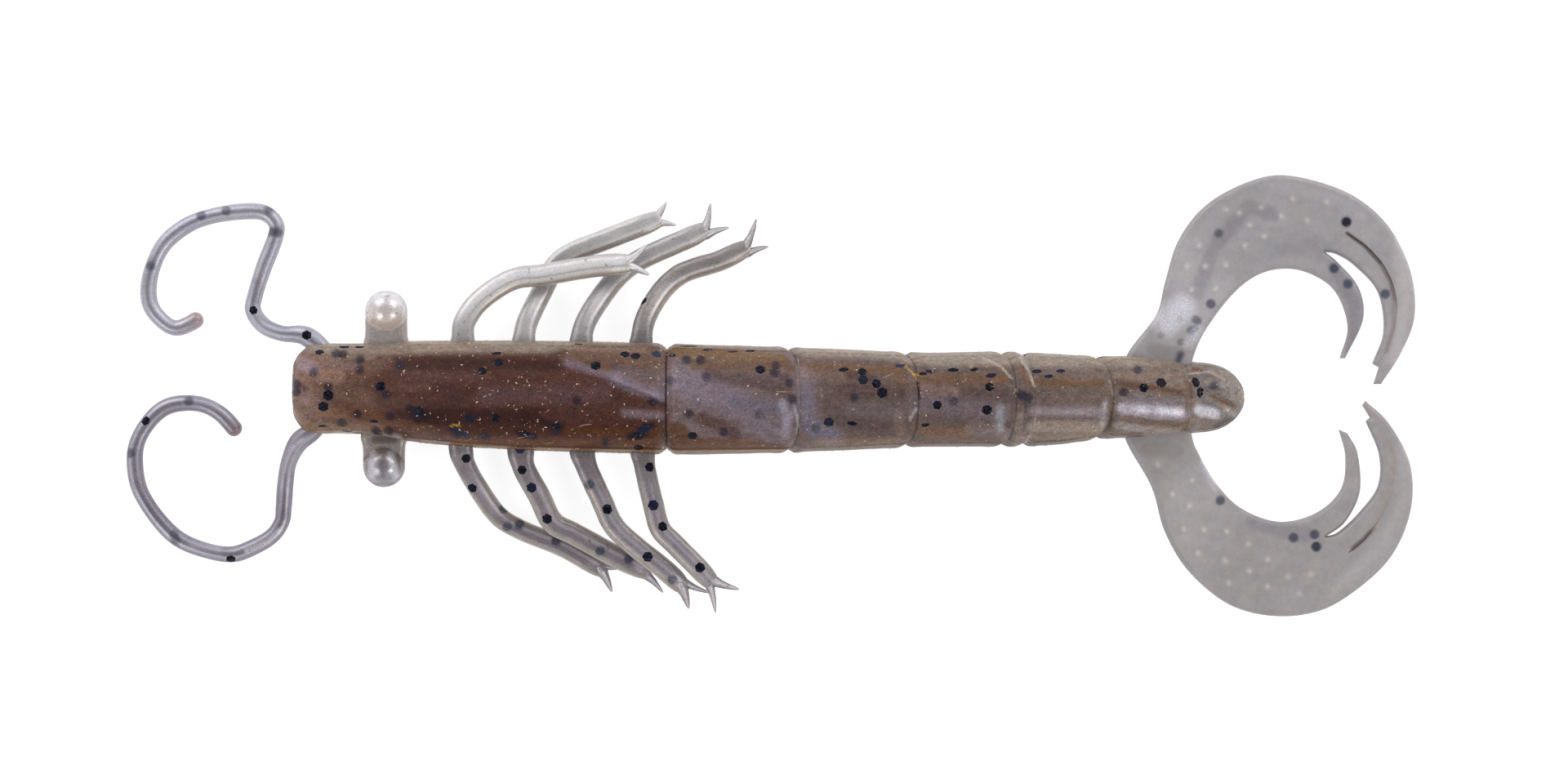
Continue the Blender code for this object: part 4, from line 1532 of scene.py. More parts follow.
@dataclass
class Feeler:
    """A long round whisker that curls on the table.

    Attributes:
        side: Its side.
        route: Its middle line, from inside the nose.
        tint: Screen colour.
        tip_tint: Screen colour of its end.
        crisp: Flakes at the surface.
        deep: Flakes deeper in the plastic.
        strokes: Colour over the tint.
        light_bands: Painted highlights along it, with a painted darker line between them.
        radius: Its radius.
        sides: Points round it.
    """

    side: Side
    route: Points
    tint: Colour
    tip_tint: Colour
    crisp: Pixels
    deep: Pixels
    strokes: tuple[Stroke, ...]
    light_bands: tuple[LightBand, ...] = (
        # Painted highlights on either side of the top, and a painted dark line down the middle
        LightBand(0.45, 0.2, (222, 221, 230), 0.55),
        LightBand(-0.45, 0.18, (206, 204, 216), 0.45),
        LightBand(0.0, 0.14, (118, 113, 126), 0.6),
    )
    radius: float = 0.71
    sides: int = 40

    def build(self, finishes: Finishes) -> None:
        """Builds the feeler, a little thicker where it leaves the nose, and its flakes."""
        route, share = round_ended_route(self.route, 0.16, self.radius)
        along = np.linspace(0, 1, len(route))
        radius = self.radius * share * (1 + 0.25 * hump(along - 0.07, 0.04) + 0.03 * np.sin(along * 40))
        # Past its first third it lies on the table, so it is no thicker than its middle is high
        radius = np.minimum(radius, np.where(along < 0.3, np.inf, route[:, 2] - 0.01))
        section = ring_section(self.sides, 2.1)
        shell = Shell.from_rings(carry(route, radius, np.minimum(radius, self.radius), section))
        along = np.append(np.repeat(along, self.sides), (0.0, 1.0))
        tip = smooth_step((along - 0.94) / 0.06)
        across = np.append(np.tile(section[:, 0], len(route)), (0.0, 0.0))
        # Painted highlight bands, faded out towards the tip
        tint = paint_light_bands(np.tile(linear(self.tint), (len(across), 1)), across, self.light_bands, 1 - tip)
        tint = mix(tint, self.tip_tint, tip)
        tint = paint(tint, shell.points, [*self.strokes, *dots(self.deep, 8, (62, 66, 84), 0.8, 0.5)])
        pearl = 0.1 + 0.1 * waviness(shell.points, 9.0)
        # Painted shade down the sides
        shell.values = {"tint": paint_side_shade(tint, shell, 0.5), "pearl": pearl}
        name = f"{self.side.word}_feeler"
        shell.build(name, finishes.limb, Slot.LIMB, f"feeler_{self.side.word}")
        skin = Skin.of(shell)
        flakes = lay_flakes(skin, skin.under(self.crisp), 31 + self.side.value)
        flakes.build(f"{name}_flakes", finishes.flake, Slot.LIMB)


PRONG_SECTION = ring_section(16, 1.7)
PRONG_WIDTHS = ((0.0, 0.22, 0.45, 0.75, 1.0), (0.9, 1.0, 0.68, 0.46, 0.3))
# Painted highlight down the middle of a prong and painted shade along its edges
PRONG_LIGHT_BANDS = (
    LightBand(0.0, 0.42, (230, 226, 230), 0.75),
    LightBand(0.9, 0.25, (110, 102, 106), 0.7),
    LightBand(-0.9, 0.25, (110, 102, 106), 0.7),
)
# Painted shade on each side's legs where they run under the body's edge
ROOT_PAINTED_SHADE = {Side.RIGHT: 0.48, Side.LEFT: 0.08}


@dataclass
class Leg:
    """A bent leg with a channelled top, and the two prongs at its end.

    Attributes:
        side: Its side.
        number: Its number, from the head.
        half_width: Half its width.
        route: Its middle line, from inside the body.
        tips: Ends of its prongs.
        prongs: Half their widths at their roots.
        tint: Screen colour.
        light_bands: Painted highlights and shade along it.
        crisp: Flakes at the surface.
        deep: Flakes deeper in the plastic.
        freckles: Fine dark dots.
        flatness: Its height over its width.
        past_end: How far the limb runs on past the route's end, between the prongs.
        end_round: Radius of its end.
        spacing: Distance between its rings of points.
        sides: Points round it.
    """

    side: Side
    number: int
    half_width: float
    route: Points
    tips: Points
    prongs: tuple[float, float]
    tint: Colour
    light_bands: tuple[LightBand, ...]
    crisp: Pixels = ()
    deep: Pixels = ()
    freckles: Pixels = ()
    flatness: float = 0.75
    past_end: float = 0.65
    end_round: float = 0.5
    spacing: float = 0.16
    sides: int = 44

    def ahead(self) -> Array:
        """The way that the leg points at its end."""
        last, end = np.array(self.route[-2:])
        return (end - last) / np.linalg.norm(end - last)

    def limb(self) -> Array:
        """The leg: a squarish section with a channel on top, flared at the body and blunt at its end."""
        tip = self.route[-1] + self.ahead() * self.past_end
        route, share = round_ended_route((*self.route, tuple(tip)), self.spacing, self.end_round)
        share = np.sqrt(share)
        out = np.abs(route[:, 1]) - BODY_SIDE
        to_tip = np.linalg.norm(route - tip, axis=1)
        flare = 1 + 0.2 * hump(np.maximum(out, 0.0), 0.8) - 0.2 * hump(to_tip, 0.9)
        height = self.half_width * share * self.flatness * (0.45 + 0.55 * smooth_step(to_tip / 2.2))
        return carry(route, self.half_width * share * flare, height, ring_section(self.sides, 2.4, 0.06))

    def prong(self, tip: tuple[float, float, float], base: float) -> Array:
        """One prong: a lozenge section along a slightly curved route, out of the leg's own corner.

        Its root lies beside the middle of the leg's end, with its outer edge in line with the leg's
        side. It is widest there, narrows fast and then slowly, and rounds off to a blunt point as the
        root of 1 less the sixth power.

        Args:
            tip: Its end.
            base: Half its width at its root.

        Returns:
            A grid of points.
        """
        end, ahead = np.array(self.route[-1]), self.ahead()
        aside = np.array(tip) - end
        aside -= ahead * np.dot(aside, ahead)
        root = end + ahead * self.past_end + aside / np.linalg.norm(aside) * (self.half_width - base)
        reach = np.array(tip) - root
        start = root - reach / np.linalg.norm(reach) * 0.9
        swing = np.cross(reach, (0.0, 0.0, 1.0)) * 0.05
        middle = (start + tip) / 2 + swing * np.sign(np.dot(swing, ahead))
        along = np.linspace(0, 1, 30)
        route = walk(round_curve((start, middle, tip)), along)
        width = base * np.interp(along, *PRONG_WIDTHS) * np.sqrt(1 - along**6) + 0.015
        return carry(route, width, width * 0.8, PRONG_SECTION)

    def dress(self, shell: Shell, section: Array, light_bands: Sequence[LightBand]) -> None:
        """Makes a skin a little uneven, and keeps its tint and its pearl.

        Painted highlight and shade bands, deep flakes and freckles are laid over the leg's tint, with painted
        shade where it meets the body and down its sides.

        Args:
            shell: The skin of the leg or of a prong.
            section: The section that was carried along it.
            light_bands: Its painted highlight and shade bands.
        """
        shell.points = shell.points + shell.normals() * (0.015 * waviness(shell.points, 2.6))[:, None]
        across = np.append(np.tile(section[:, 0], (len(shell.points) - 2) // len(section)), (0.0, 0.0))
        out = np.abs(shell.points[:, 1]) - BODY_SIDE
        tint = linear(self.tint) * (1 + 0.06 * waviness(shell.points, 5.0))[:, None]
        tint = paint_light_bands(tint, across, light_bands, smooth_step((out - 1.2) / 3.0))
        spots = dots(self.deep, 7.5, (44, 48, 68), 0.95, 0.4) + dots(self.freckles, 1.3, (24, 20, 22), 0.9)
        tint = paint(tint, shell.points, spots)
        # Painted shade at the join with the body and along the root
        tint = tint * (1 - 0.25 * hump(out + 0.1, 0.25) - ROOT_PAINTED_SHADE[self.side] * hump(out, 3.0))[:, None]
        pearl = 0.16 + 0.1 * waviness(shell.points, 3.0)
        # Painted shade down the sides
        shell.values = {"tint": paint_side_shade(tint, shell, 0.4), "pearl": pearl}

    def build(self, finishes: Finishes) -> None:
        """Builds the leg with its prongs, and its flakes."""
        limb = Shell.from_rings(self.limb())
        self.dress(limb, ring_section(self.sides, 2.4), self.light_bands)
        prongs = [Shell.from_rings(self.prong(tip, base)) for tip, base in zip(self.tips, self.prongs)]
        for prong in prongs:
            self.dress(prong, PRONG_SECTION, PRONG_LIGHT_BANDS)
        shell = Shell.join([limb, *prongs])
        name = f"{self.side.word}_leg_{self.number}"
        shell.build(name, finishes.limb, Slot.LIMB, f"leg_{self.side.word}_{self.number}")
        if self.crisp:
            skin = Skin.of(shell)
            flakes = lay_flakes(skin, skin.under(self.crisp), 40 + self.number * self.side.value)
            flakes.build(f"{name}_flakes", finishes.flake, Slot.LIMB)


@dataclass(frozen=True)
class Border:
    """One edge of a claw, from the root: stretches of smooth curve and straight lines.

    Attributes:
        before: Points from the root to beside the fork.
        after: Points from beside the fork to the end of the finger.
        notch: Corners that end the finger, joined by straight lines.
        parts: Whether the border parts from another one at the fork. It runs on smoothly if not.
    """

    before: Points
    after: Points
    notch: Points = ()
    parts: bool = False

    def stretches(self) -> tuple[Array, Array]:
        """The border's curve up to the fork, and its line from there to the end."""
        if self.parts:
            before, after = round_curve(self.before), round_curve(self.after)
        else:
            whole = round_curve(self.before + self.after[1:])
            fork = len(round_curve(self.before)) - 1
            before, after = whole[: fork + 1], whole[fork:]
        return before, np.vstack((after, self.notch)) if self.notch else after

    def trace(self, first: Array, second: Array) -> Array:
        """Points at shares of the stretch before the fork, and then of the stretch after it."""
        before, after = self.stretches()
        return np.vstack((walk(before, first), walk(after, second)[1:]))

    def outline(self) -> Array:
        """The border as one line."""
        before, after = self.stretches()
        return np.vstack((before, after[1:]))


@dataclass
class Claw:
    """A flat crescent blade that sags onto the table and is slit into two fingers.

    The outer blade and the inner finger are two ribbons. They share the middle line from the root to the
    fork, and part there.

    Attributes:
        side: Its side.
        outer: The outer blade's outer border.
        slot_outer: The middle line, and the slot's edge on the outer blade.
        slot_inner: The middle line, and the slot's edge on the inner finger.
        inner: The inner finger's inner border.
        slit: Pixels along the moulded line in the outer blade.
        slit_fade: The line's strength, at even steps along it.
        tint: Screen colour.
        strokes: Colour over it.
        pearls: Pearl dust.
        pimples: Pixels of the raised pale dots.
        chips: Coloured chips: pixel x, pixel y, and screen colour.
        thickness: The blade's thickness.
        edge_round: How far in from its edge it rounds off.
        root: Where it leaves the body, on the right side.
        root_z: Height of its middle there.
        sag_start: How far out it starts to sag.
        sag_end: How far out it lies on the table.
        rows: Rows of points before the fork and after it.
        columns: Points across the outer blade and the inner finger.
        edge_painted_shade: Screen colour of the painted shade along the free edge.
        pimple_width: Width of a pimple's bell.
        pimple_height: Its height.
        pimple_tint: Its screen colour.
        chip_size: Half length and half width of a chip.
        dustiness: Pearl dust over the whole blade.
    """

    side: Side
    outer: Border
    slot_outer: Border
    slot_inner: Border
    inner: Border
    slit: Pixels
    slit_fade: tuple[float, ...]
    tint: Colour
    strokes: tuple[Stroke, ...]
    pearls: tuple[Stroke, ...]
    pimples: Pixels
    chips: tuple[tuple[float, float, Colour], ...] = ()
    thickness: float = 1.2
    edge_round: float = 0.45
    root: tuple[float, float] = (34.5, 3.7)
    root_z: float = 2.7
    sag_start: float = 2.2
    sag_end: float = 11.5
    rows: tuple[int, int] = (150, 110)
    columns: tuple[int, int] = (52, 30)
    edge_painted_shade: Colour = (112, 106, 108)
    pimple_width: float = 0.32
    pimple_height: float = 0.06
    pimple_tint: Colour = (214, 209, 200)
    chip_size: tuple[float, float] = (0.26, 0.15)
    dustiness: float = 0.03

    def sheet(self) -> Shell:
        """The blade in plan: two ribbons between their borders, joined along the middle line.

        A ribbon's point is a share of the way from one border to the other. The shares crowd towards
        the free edges, where the blade rounds off.
        """
        first, second = (np.linspace(0, 1, count) for count in self.rows)
        borders = (self.outer, self.slot_outer, self.slot_inner, self.inner)
        outer, slot_outer, slot_inner, inner = (border.trace(first, second) for border in borders)
        ribbons = []
        for left, right, count in zip((outer, slot_inner), (slot_outer, inner), self.columns):
            share = (1 - np.cos(np.linspace(0, math.pi, count))) / 2 * 0.6 + np.linspace(0, 1, count) * 0.4
            ribbons.append(left[:, None] * (1 - share[:, None]) + right[:, None] * share[:, None])
        shells = []
        for ribbon in ribbons:
            rows, columns = ribbon.shape[:2]
            row, column = np.meshgrid(np.arange(rows - 1) * columns, np.arange(columns - 1), indexing="ij")
            corners = (row + column, row + columns + column, row + columns + column + 1, row + column + 1)
            points = np.column_stack((ribbon.reshape(-1, 2), np.zeros(rows * columns)))
            quads = np.stack(corners, axis=-1).reshape(-1, 4)
            shells.append(Shell(points, quads, np.empty((0, 3), int)))
        return Shell.join(shells)

    def outline(self) -> Array:
        """The free edge as one closed line round the blade, its slot included."""
        outer, slot_outer = self.outer.outline(), self.slot_outer.outline()
        slot_inner, inner = self.slot_inner.outline(), self.inner.outline()
        fork = len(round_curve(self.slot_outer.before)) - 1
        parts = (outer, slot_outer[fork:][::-1], slot_inner[fork + 1 :], inner[::-1])
        return np.vstack(parts)

    def build(self, finishes: Finishes) -> None:
        """Builds the claw: the sheet's two faces, welded along the free edge.

        Half the thickness is an ellipse's height over the distance from the edge. The middle of the
        blade falls from the root to the table as a smooth step of the way out at 45 degrees.
        """
        sheet = self.sheet()
        plan = sheet.points[:, :2]
        gap = np.abs(nearest_on_line(plan, self.outline())[0])
        near_edge = 1 - np.clip(gap / self.edge_round, 0.0, 1.0)
        half = self.thickness / 2 * np.sqrt(1 - near_edge**2)
        sign = self.side.value
        reach = ((plan[:, 0] - self.root[0]) + (plan[:, 1] * sign - self.root[1])) / math.sqrt(2)
        sag = smooth_step((reach - self.sag_start) / (self.sag_end - self.sag_start))
        middle = self.root_z - (self.root_z - self.thickness / 2) * sag
        off, along = nearest_on_line(plan, round_curve(PHOTO.plan(self.slit)))
        fade = np.interp(along, np.linspace(0, 1, len(self.slit_fade)), self.slit_fade)
        fade *= smooth_step(along / 0.03)
        inside = smooth_step(gap / 0.5)
        relief = 0.05 * np.tanh(off / 0.3) * fade * hump(off, 2.5) * inside
        relief += 0.02 * waviness(sheet.points, 6.0) * inside
        bumps = np.zeros(len(plan))
        for place in PHOTO.plan(self.pimples):
            bumps = np.maximum(bumps, hump(np.linalg.norm(plan - place, axis=1), self.pimple_width))
        top = middle + half + np.where(half > 0.3, relief + self.pimple_height * bumps, 0.0) - 0.05
        top = np.minimum(top, middle + half)
        bottom = middle - half
        count = len(plan)
        points = np.vstack((np.column_stack((plan, top)), np.column_stack((plan, bottom))))
        faces = sheet.quads if sign > 0 else sheet.quads[:, ::-1]
        shell = Shell(points, np.vstack((faces, faces[:, ::-1] + count)), sheet.triangles)
        uneven = 0.05 * waviness(sheet.points, 8.0) + 0.06 * waviness(sheet.points, 3.3)
        tint = linear(self.tint) * (1 + uneven)[:, None]
        # Painted shade along the free edge
        tint = mix(tint, self.edge_painted_shade, 0.35 * hump(gap, 0.16))
        tint = paint(tint, sheet.points, self.strokes)
        tint = mix(tint, self.pimple_tint, 0.75 * bumps**2)
        pearl = gather(np.full(count, self.dustiness), sheet.points, self.pearls)
        shell.values = {
            "tint": np.vstack((tint, tint)),
            "pearl": np.tile(pearl, 2),
            "line": np.tile(off, 2),
            "line_strength": np.tile(fade, 2),
        }
        name = f"{self.side.word}_tail_claw"
        shell.build(name, finishes.claw, Slot.CLAW, f"tail_claw_{self.side.word}")
        weld(bpy.data.objects[name])
        if self.chips:
            skin = Skin.of(shell)
            spots = skin.under([chip[:2] for chip in self.chips])
            sizes = np.tile((*self.chip_size, FLAKE_LIFT), (len(spots), 1))
            level, tints = np.zeros(len(spots)), linear([chip[2] for chip in self.chips])
            chips = FLAKE.lay(skin, spots, sizes, level + 0.3, level, tints)
            chips.build(f"{name}_chips", finishes.flake, Slot.CLAW)


def weld(piece: bpy.types.Object, distance: float = 2e-6) -> None:
    """Merges a piece's points that lie together, so that its edges close.

    Args:
        piece: The object.
        distance: Metres within which points merge.
    """
    shape = bmesh.new()
    shape.from_mesh(piece.data)
    bmesh.ops.remove_doubles(shape, verts=shape.verts, dist=distance)
    bmesh.ops.recalc_face_normals(shape, faces=shape.faces)
    shape.to_mesh(piece.data)
    shape.free()


EYES = (
    Eye(
        Side.RIGHT, (-34.1, 7.85), 2.5, (216, 212, 216), (232, 219, 210), (187, 176, 175),
        strokes=(
            *dots((452, 383, 489, 384.5), 1.4, (50, 44, 42), 0.9),
            Stroke((472, 361, 476, 361.5), 1.6, (236, 234, 230), 0.7),
            Stroke((474, 363, 479, 363), 1.2, (110, 104, 98), 0.7),
            Stroke((452, 419, 497, 418), 4, (176, 166, 164), 0.7),
        ),
    ),
    Eye(
        Side.LEFT, (-34.3, -5.9), -1.0, (158, 154, 162), (146, 134, 130), (170, 160, 153),
        strokes=(
            # Painted highlights: two pale streaks, with a darker line between them
            Stroke((459, 557, 458, 568, 460, 579), 8, (206, 202, 216), 0.75, 1.0),
            Stroke((481, 557, 484, 568, 486, 578), 8, (206, 202, 216), 0.75, 1.0),
            Stroke((471, 556, 472, 582), 5, (124, 121, 134), 0.7, 1.0),
            Stroke((462, 538, 484, 538), 7, (108, 92, 92), 0.8),
            # Painted shade at the bottom of the ball
            Stroke((462, 592, 482, 592), 5, (112, 106, 108), 0.7, 1.0),
            Stroke((466, 546.5, 469, 546.5), 1.5, (226, 222, 218), 0.8),
        ),
        pearls=(
            # Pearl dust under the painted highlights, so that they glitter
            dust((459, 555, 459, 580), 9, 0.8, 1.0),
            dust((482, 556, 486, 580), 9, 0.8, 1.0),
        ),
    ),
)

RIGHT_FEELER_ROUTE = (
    (-38.8, 3.6, 3.3), (-41.2, 5.6, 2.9), (-43.5, 5.9, 2.2), (-45.2, 6.6, 1.5), (-46.2, 7.9, 1.0),
    (-46.1, 9.2, 0.8), (-45.3, 11.8, 0.75), (-44.3, 14.4, 0.75), (-44.2, 15.7, 0.75), (-45.3, 16.7, 0.75),
    (-47.3, 16.8, 0.75), (-49.9, 16.4, 0.75), (-52.1, 15.6, 0.75), (-54.1, 14.0, 0.75),
    (-55.2, 11.9, 0.75), (-55.6, 9.8, 0.75), (-55.3, 8.2, 0.75), (-54.2, 6.9, 0.75), (-53.1, 6.4, 0.75),
    (-51.9, 6.8, 0.75), (-50.8, 7.5, 0.75),
)
LEFT_FEELER_ROUTE = (
    (-39.5, -1.6, 3.3), (-40.7, -2.8, 3.1), (-42.0, -3.8, 2.7), (-42.9, -5.5, 2.0), (-43.3, -7.4, 1.3),
    (-43.5, -9.5, 0.85), (-43.7, -10.9, 0.75), (-44.6, -12.2, 0.75), (-46.3, -13.2, 0.75),
    (-48.1, -13.8, 0.75), (-50.3, -13.5, 0.75), (-52.8, -12.5, 0.75), (-54.7, -10.7, 0.75),
    (-56.3, -8.2, 0.75), (-56.8, -5.9, 0.75), (-56.6, -3.8, 0.75), (-55.5, -1.9, 0.75),
    (-54.1, -0.7, 0.75), (-52.4, -0.3, 0.75), (-50.6, -0.5, 0.75), (-49.0, -1.4, 0.75),
    (-47.5, -3.1, 0.75),
)
FEELERS = (
    Feeler(
        Side.RIGHT, RIGHT_FEELER_ROUTE, (166, 165, 180), (172, 148, 148),
        (309, 379, 376.6, 411), (331, 283, 338, 284, 327.5, 256, 182, 325, 275, 257.5, 244, 263),
        (
            Stroke((382, 418, 345, 405, 318, 392, 309, 372, 313, 345), 9, (112, 111, 124), 0.5, 1.0),
            Stroke((176, 350, 184, 318), 8, (126, 127, 142), 0.5, 1.0),
        ),
    ),
    Feeler(
        Side.LEFT, LEFT_FEELER_ROUTE, (130, 124, 140), (144, 122, 128),
        (176, 514, 281, 686), (211, 655, 157, 555, 213, 662, 229, 491),
        (
            Stroke((372, 540, 352, 575), 9, (168, 164, 172), 0.5, 1.0),
            # Painted highlight on the lower bend
            Stroke((300, 675, 325, 664, 340, 650), 6, (222, 220, 230), 0.7, 1.0),
            Stroke((165, 590, 190, 632, 215, 658), 8, (104, 96, 112), 0.5, 1.0),
            Stroke((232, 668, 264, 673), 9, (182, 180, 194), 0.6, 1.0),
            Stroke((346, 632, 345, 606), 9, (100, 88, 102), 0.55, 1.0),
            Stroke((226, 490, 262, 495), 9, (168, 166, 186), 0.5, 1.0),
        ),
    ),
)

# Painted highlights, dark lines and edge shade along the legs, by the kind of top that each shows
TWIN_LIGHT_BANDS = (
    LightBand(0.85, 0.22, (160, 156, 156), 0.7),
    LightBand(0.3, 0.34, (252, 250, 253), 0.92),
    LightBand(-0.2, 0.09, (164, 160, 162), 0.75),
    LightBand(-0.4, 0.14, (240, 234, 230), 0.85),
    LightBand(-0.85, 0.3, (172, 158, 140), 0.85),
)
RIDGED_LIGHT_BANDS = (
    LightBand(-0.42, 0.15, (236, 230, 228), 0.8),
    LightBand(-0.62, 0.07, (116, 104, 96), 0.7),
    LightBand(-0.9, 0.2, (168, 154, 138), 0.8),
)
SHADED_LIGHT_BANDS = (
    LightBand(0.9, 0.25, (176, 166, 152), 0.7),
    LightBand(0.28, 0.12, (212, 206, 210), 0.7),
    LightBand(-0.05, 0.25, (134, 122, 136), 0.6),
    LightBand(-0.8, 0.25, (172, 164, 152), 0.7),
)
GLITTERED_LIGHT_BANDS = (
    LightBand(0.9, 0.25, (156, 148, 138), 0.7),
    LightBand(0.22, 0.16, (190, 184, 196), 0.7),
    LightBand(-0.1, 0.2, (136, 126, 140), 0.6),
    LightBand(-0.4, 0.1, (206, 200, 200), 0.6),
    LightBand(-0.8, 0.3, (172, 162, 148), 0.7),
)
LEGS = (
    Leg(
        Side.RIGHT, 1, 0.98,
        ((-27.4, 3.0, 3.9), (-27.3, 5.2, 3.9), (-27.1, 7.0, 3.8), (-25.6, 9.0, 3.4), (-22.9, 10.7, 2.9),
         (-20.2, 11.1, 2.7), (-16.1, 11.8, 2.65), (-13.0, 12.1, 2.65)),
        ((-11.0, 13.8, 2.5), (-10.8, 11.1, 2.3)), (0.5, 0.52), (224, 220, 220), TWIN_LIGHT_BANDS,
        freckles=(
            564, 410, 568, 378, 599, 349, 603, 362, 648, 330, 648, 333, 676, 342, 660, 348, 742, 325,
            752, 317, 717, 319, 570, 395,
        ),
    ),
    Leg(
        Side.RIGHT, 2, 0.95,
        ((-21.9, 3.0, 3.9), (-21.9, 5.2, 3.8), (-21.6, 7.0, 2.9), (-20.4, 9.7, 1.3), (-19.3, 11.9, 0.8),
         (-17.8, 13.1, 0.8), (-14.8, 14.3, 0.8), (-10.4, 16.0, 0.8)),
        ((-9.3, 17.7, 0.7), (-8.4, 15.6, 0.7)), (0.42, 0.4), (196, 193, 193), RIDGED_LIGHT_BANDS,
        freckles=(643, 374, 762, 296, 787, 281, 733, 282, 653, 382),
    ),
    Leg(
        Side.RIGHT, 3, 0.95,
        ((-16.8, 3.0, 3.9), (-16.8, 5.2, 3.8), (-16.4, 7.0, 2.9), (-14.9, 9.5, 1.4), (-13.4, 11.3, 0.8),
         (-11.5, 12.6, 0.8), (-7.5, 14.4, 0.8), (-6.2, 15.0, 0.8)),
        ((-5.4, 17.6, 0.7), (-3.7, 15.4, 0.7)), (0.42, 0.46), (176, 172, 174), RIDGED_LIGHT_BANDS,
        freckles=(823, 292, 863, 252, 864, 256),
    ),
    Leg(
        Side.RIGHT, 4, 0.93,
        ((-11.5, 3.0, 3.9), (-11.5, 5.1, 3.8), (-11.1, 7.3, 3.0), (-9.8, 9.6, 1.6), (-8.4, 11.0, 0.9),
         (-6.9, 11.7, 0.8), (-4.6, 12.4, 0.8), (-2.5, 13.4, 0.8)),
        ((-1.3, 16.2, 0.7), (-0.2, 13.7, 0.7)), (0.42, 0.4), (142, 135, 133), RIDGED_LIGHT_BANDS, (788, 369),
        freckles=(873, 308, 801, 375),
    ),
    Leg(
        Side.LEFT, 1, 0.9,
        ((-27.5, -2.2, 3.9), (-27.5, -4.0, 3.8), (-27.2, -5.6, 3.2), (-26.1, -7.8, 2.0),
         (-24.4, -10.3, 0.9), (-22.4, -11.6, 0.75), (-18.5, -13.2, 0.75), (-15.4, -15.0, 0.75)),
        ((-14.2, -17.2, 0.55), (-13.5, -15.1, 0.5)), (0.55, 0.38), (134, 124, 129), SHADED_LIGHT_BANDS,
        (571.5, 561, 579, 598), (616, 623, 620, 645, 635, 643, 680, 663),
    ),
    Leg(
        Side.LEFT, 2, 1.0,
        ((-22.2, -2.2, 3.9), (-22.2, -4.0, 3.9), (-21.9, -6.0, 3.6), (-20.6, -8.5, 2.9),
         (-19.4, -10.9, 2.3), (-17.4, -12.0, 2.15), (-13.9, -13.9, 2.1), (-11.3, -15.1, 2.0)),
        ((-9.6, -17.2, 1.5), (-9.0, -15.9, 1.5)), (0.45, 0.4), (130, 120, 125), SHADED_LIGHT_BANDS,
        (640, 549, 641, 575, 653, 597, 671, 635), (735, 674.5, 770, 684),
        (722, 662, 728, 667, 743, 662, 744, 667, 739, 660, 745, 671),
    ),
    Leg(
        Side.LEFT, 3, 0.95,
        ((-16.8, -2.2, 3.9), (-16.8, -4.1, 3.9), (-16.3, -6.0, 3.85), (-15.0, -8.9, 3.7),
         (-13.9, -11.2, 3.6), (-11.9, -13.1, 3.55), (-9.5, -15.0, 3.4), (-8.1, -16.3, 3.25)),
        ((-7.3, -18.6, 2.6), (-5.3, -17.2, 2.6)), (0.6, 0.38), (136, 127, 132), GLITTERED_LIGHT_BANDS,
        (744.5, 622, 793.5, 680), (723, 593, 824, 709), (775, 655, 745, 645, 746, 640),
    ),
    Leg(
        Side.LEFT, 4, 0.93,
        ((-11.4, -2.2, 3.9), (-11.4, -4.1, 3.95), (-11.1, -6.3, 4.0), (-10.4, -9.3, 4.1),
         (-9.8, -11.4, 4.15), (-8.5, -12.8, 4.2), (-6.8, -14.5, 4.2), (-5.5, -15.9, 4.2)),
        ((-4.9, -18.9, 3.8), (-2.8, -16.8, 3.9)), (0.42, 0.5), (136, 128, 133), GLITTERED_LIGHT_BANDS,
        (782, 547, 797, 572, 802, 618, 812, 644, 858, 693),
        freckles=(869, 715, 870, 712, 882, 716, 885, 718, 891, 717),
    ),
)

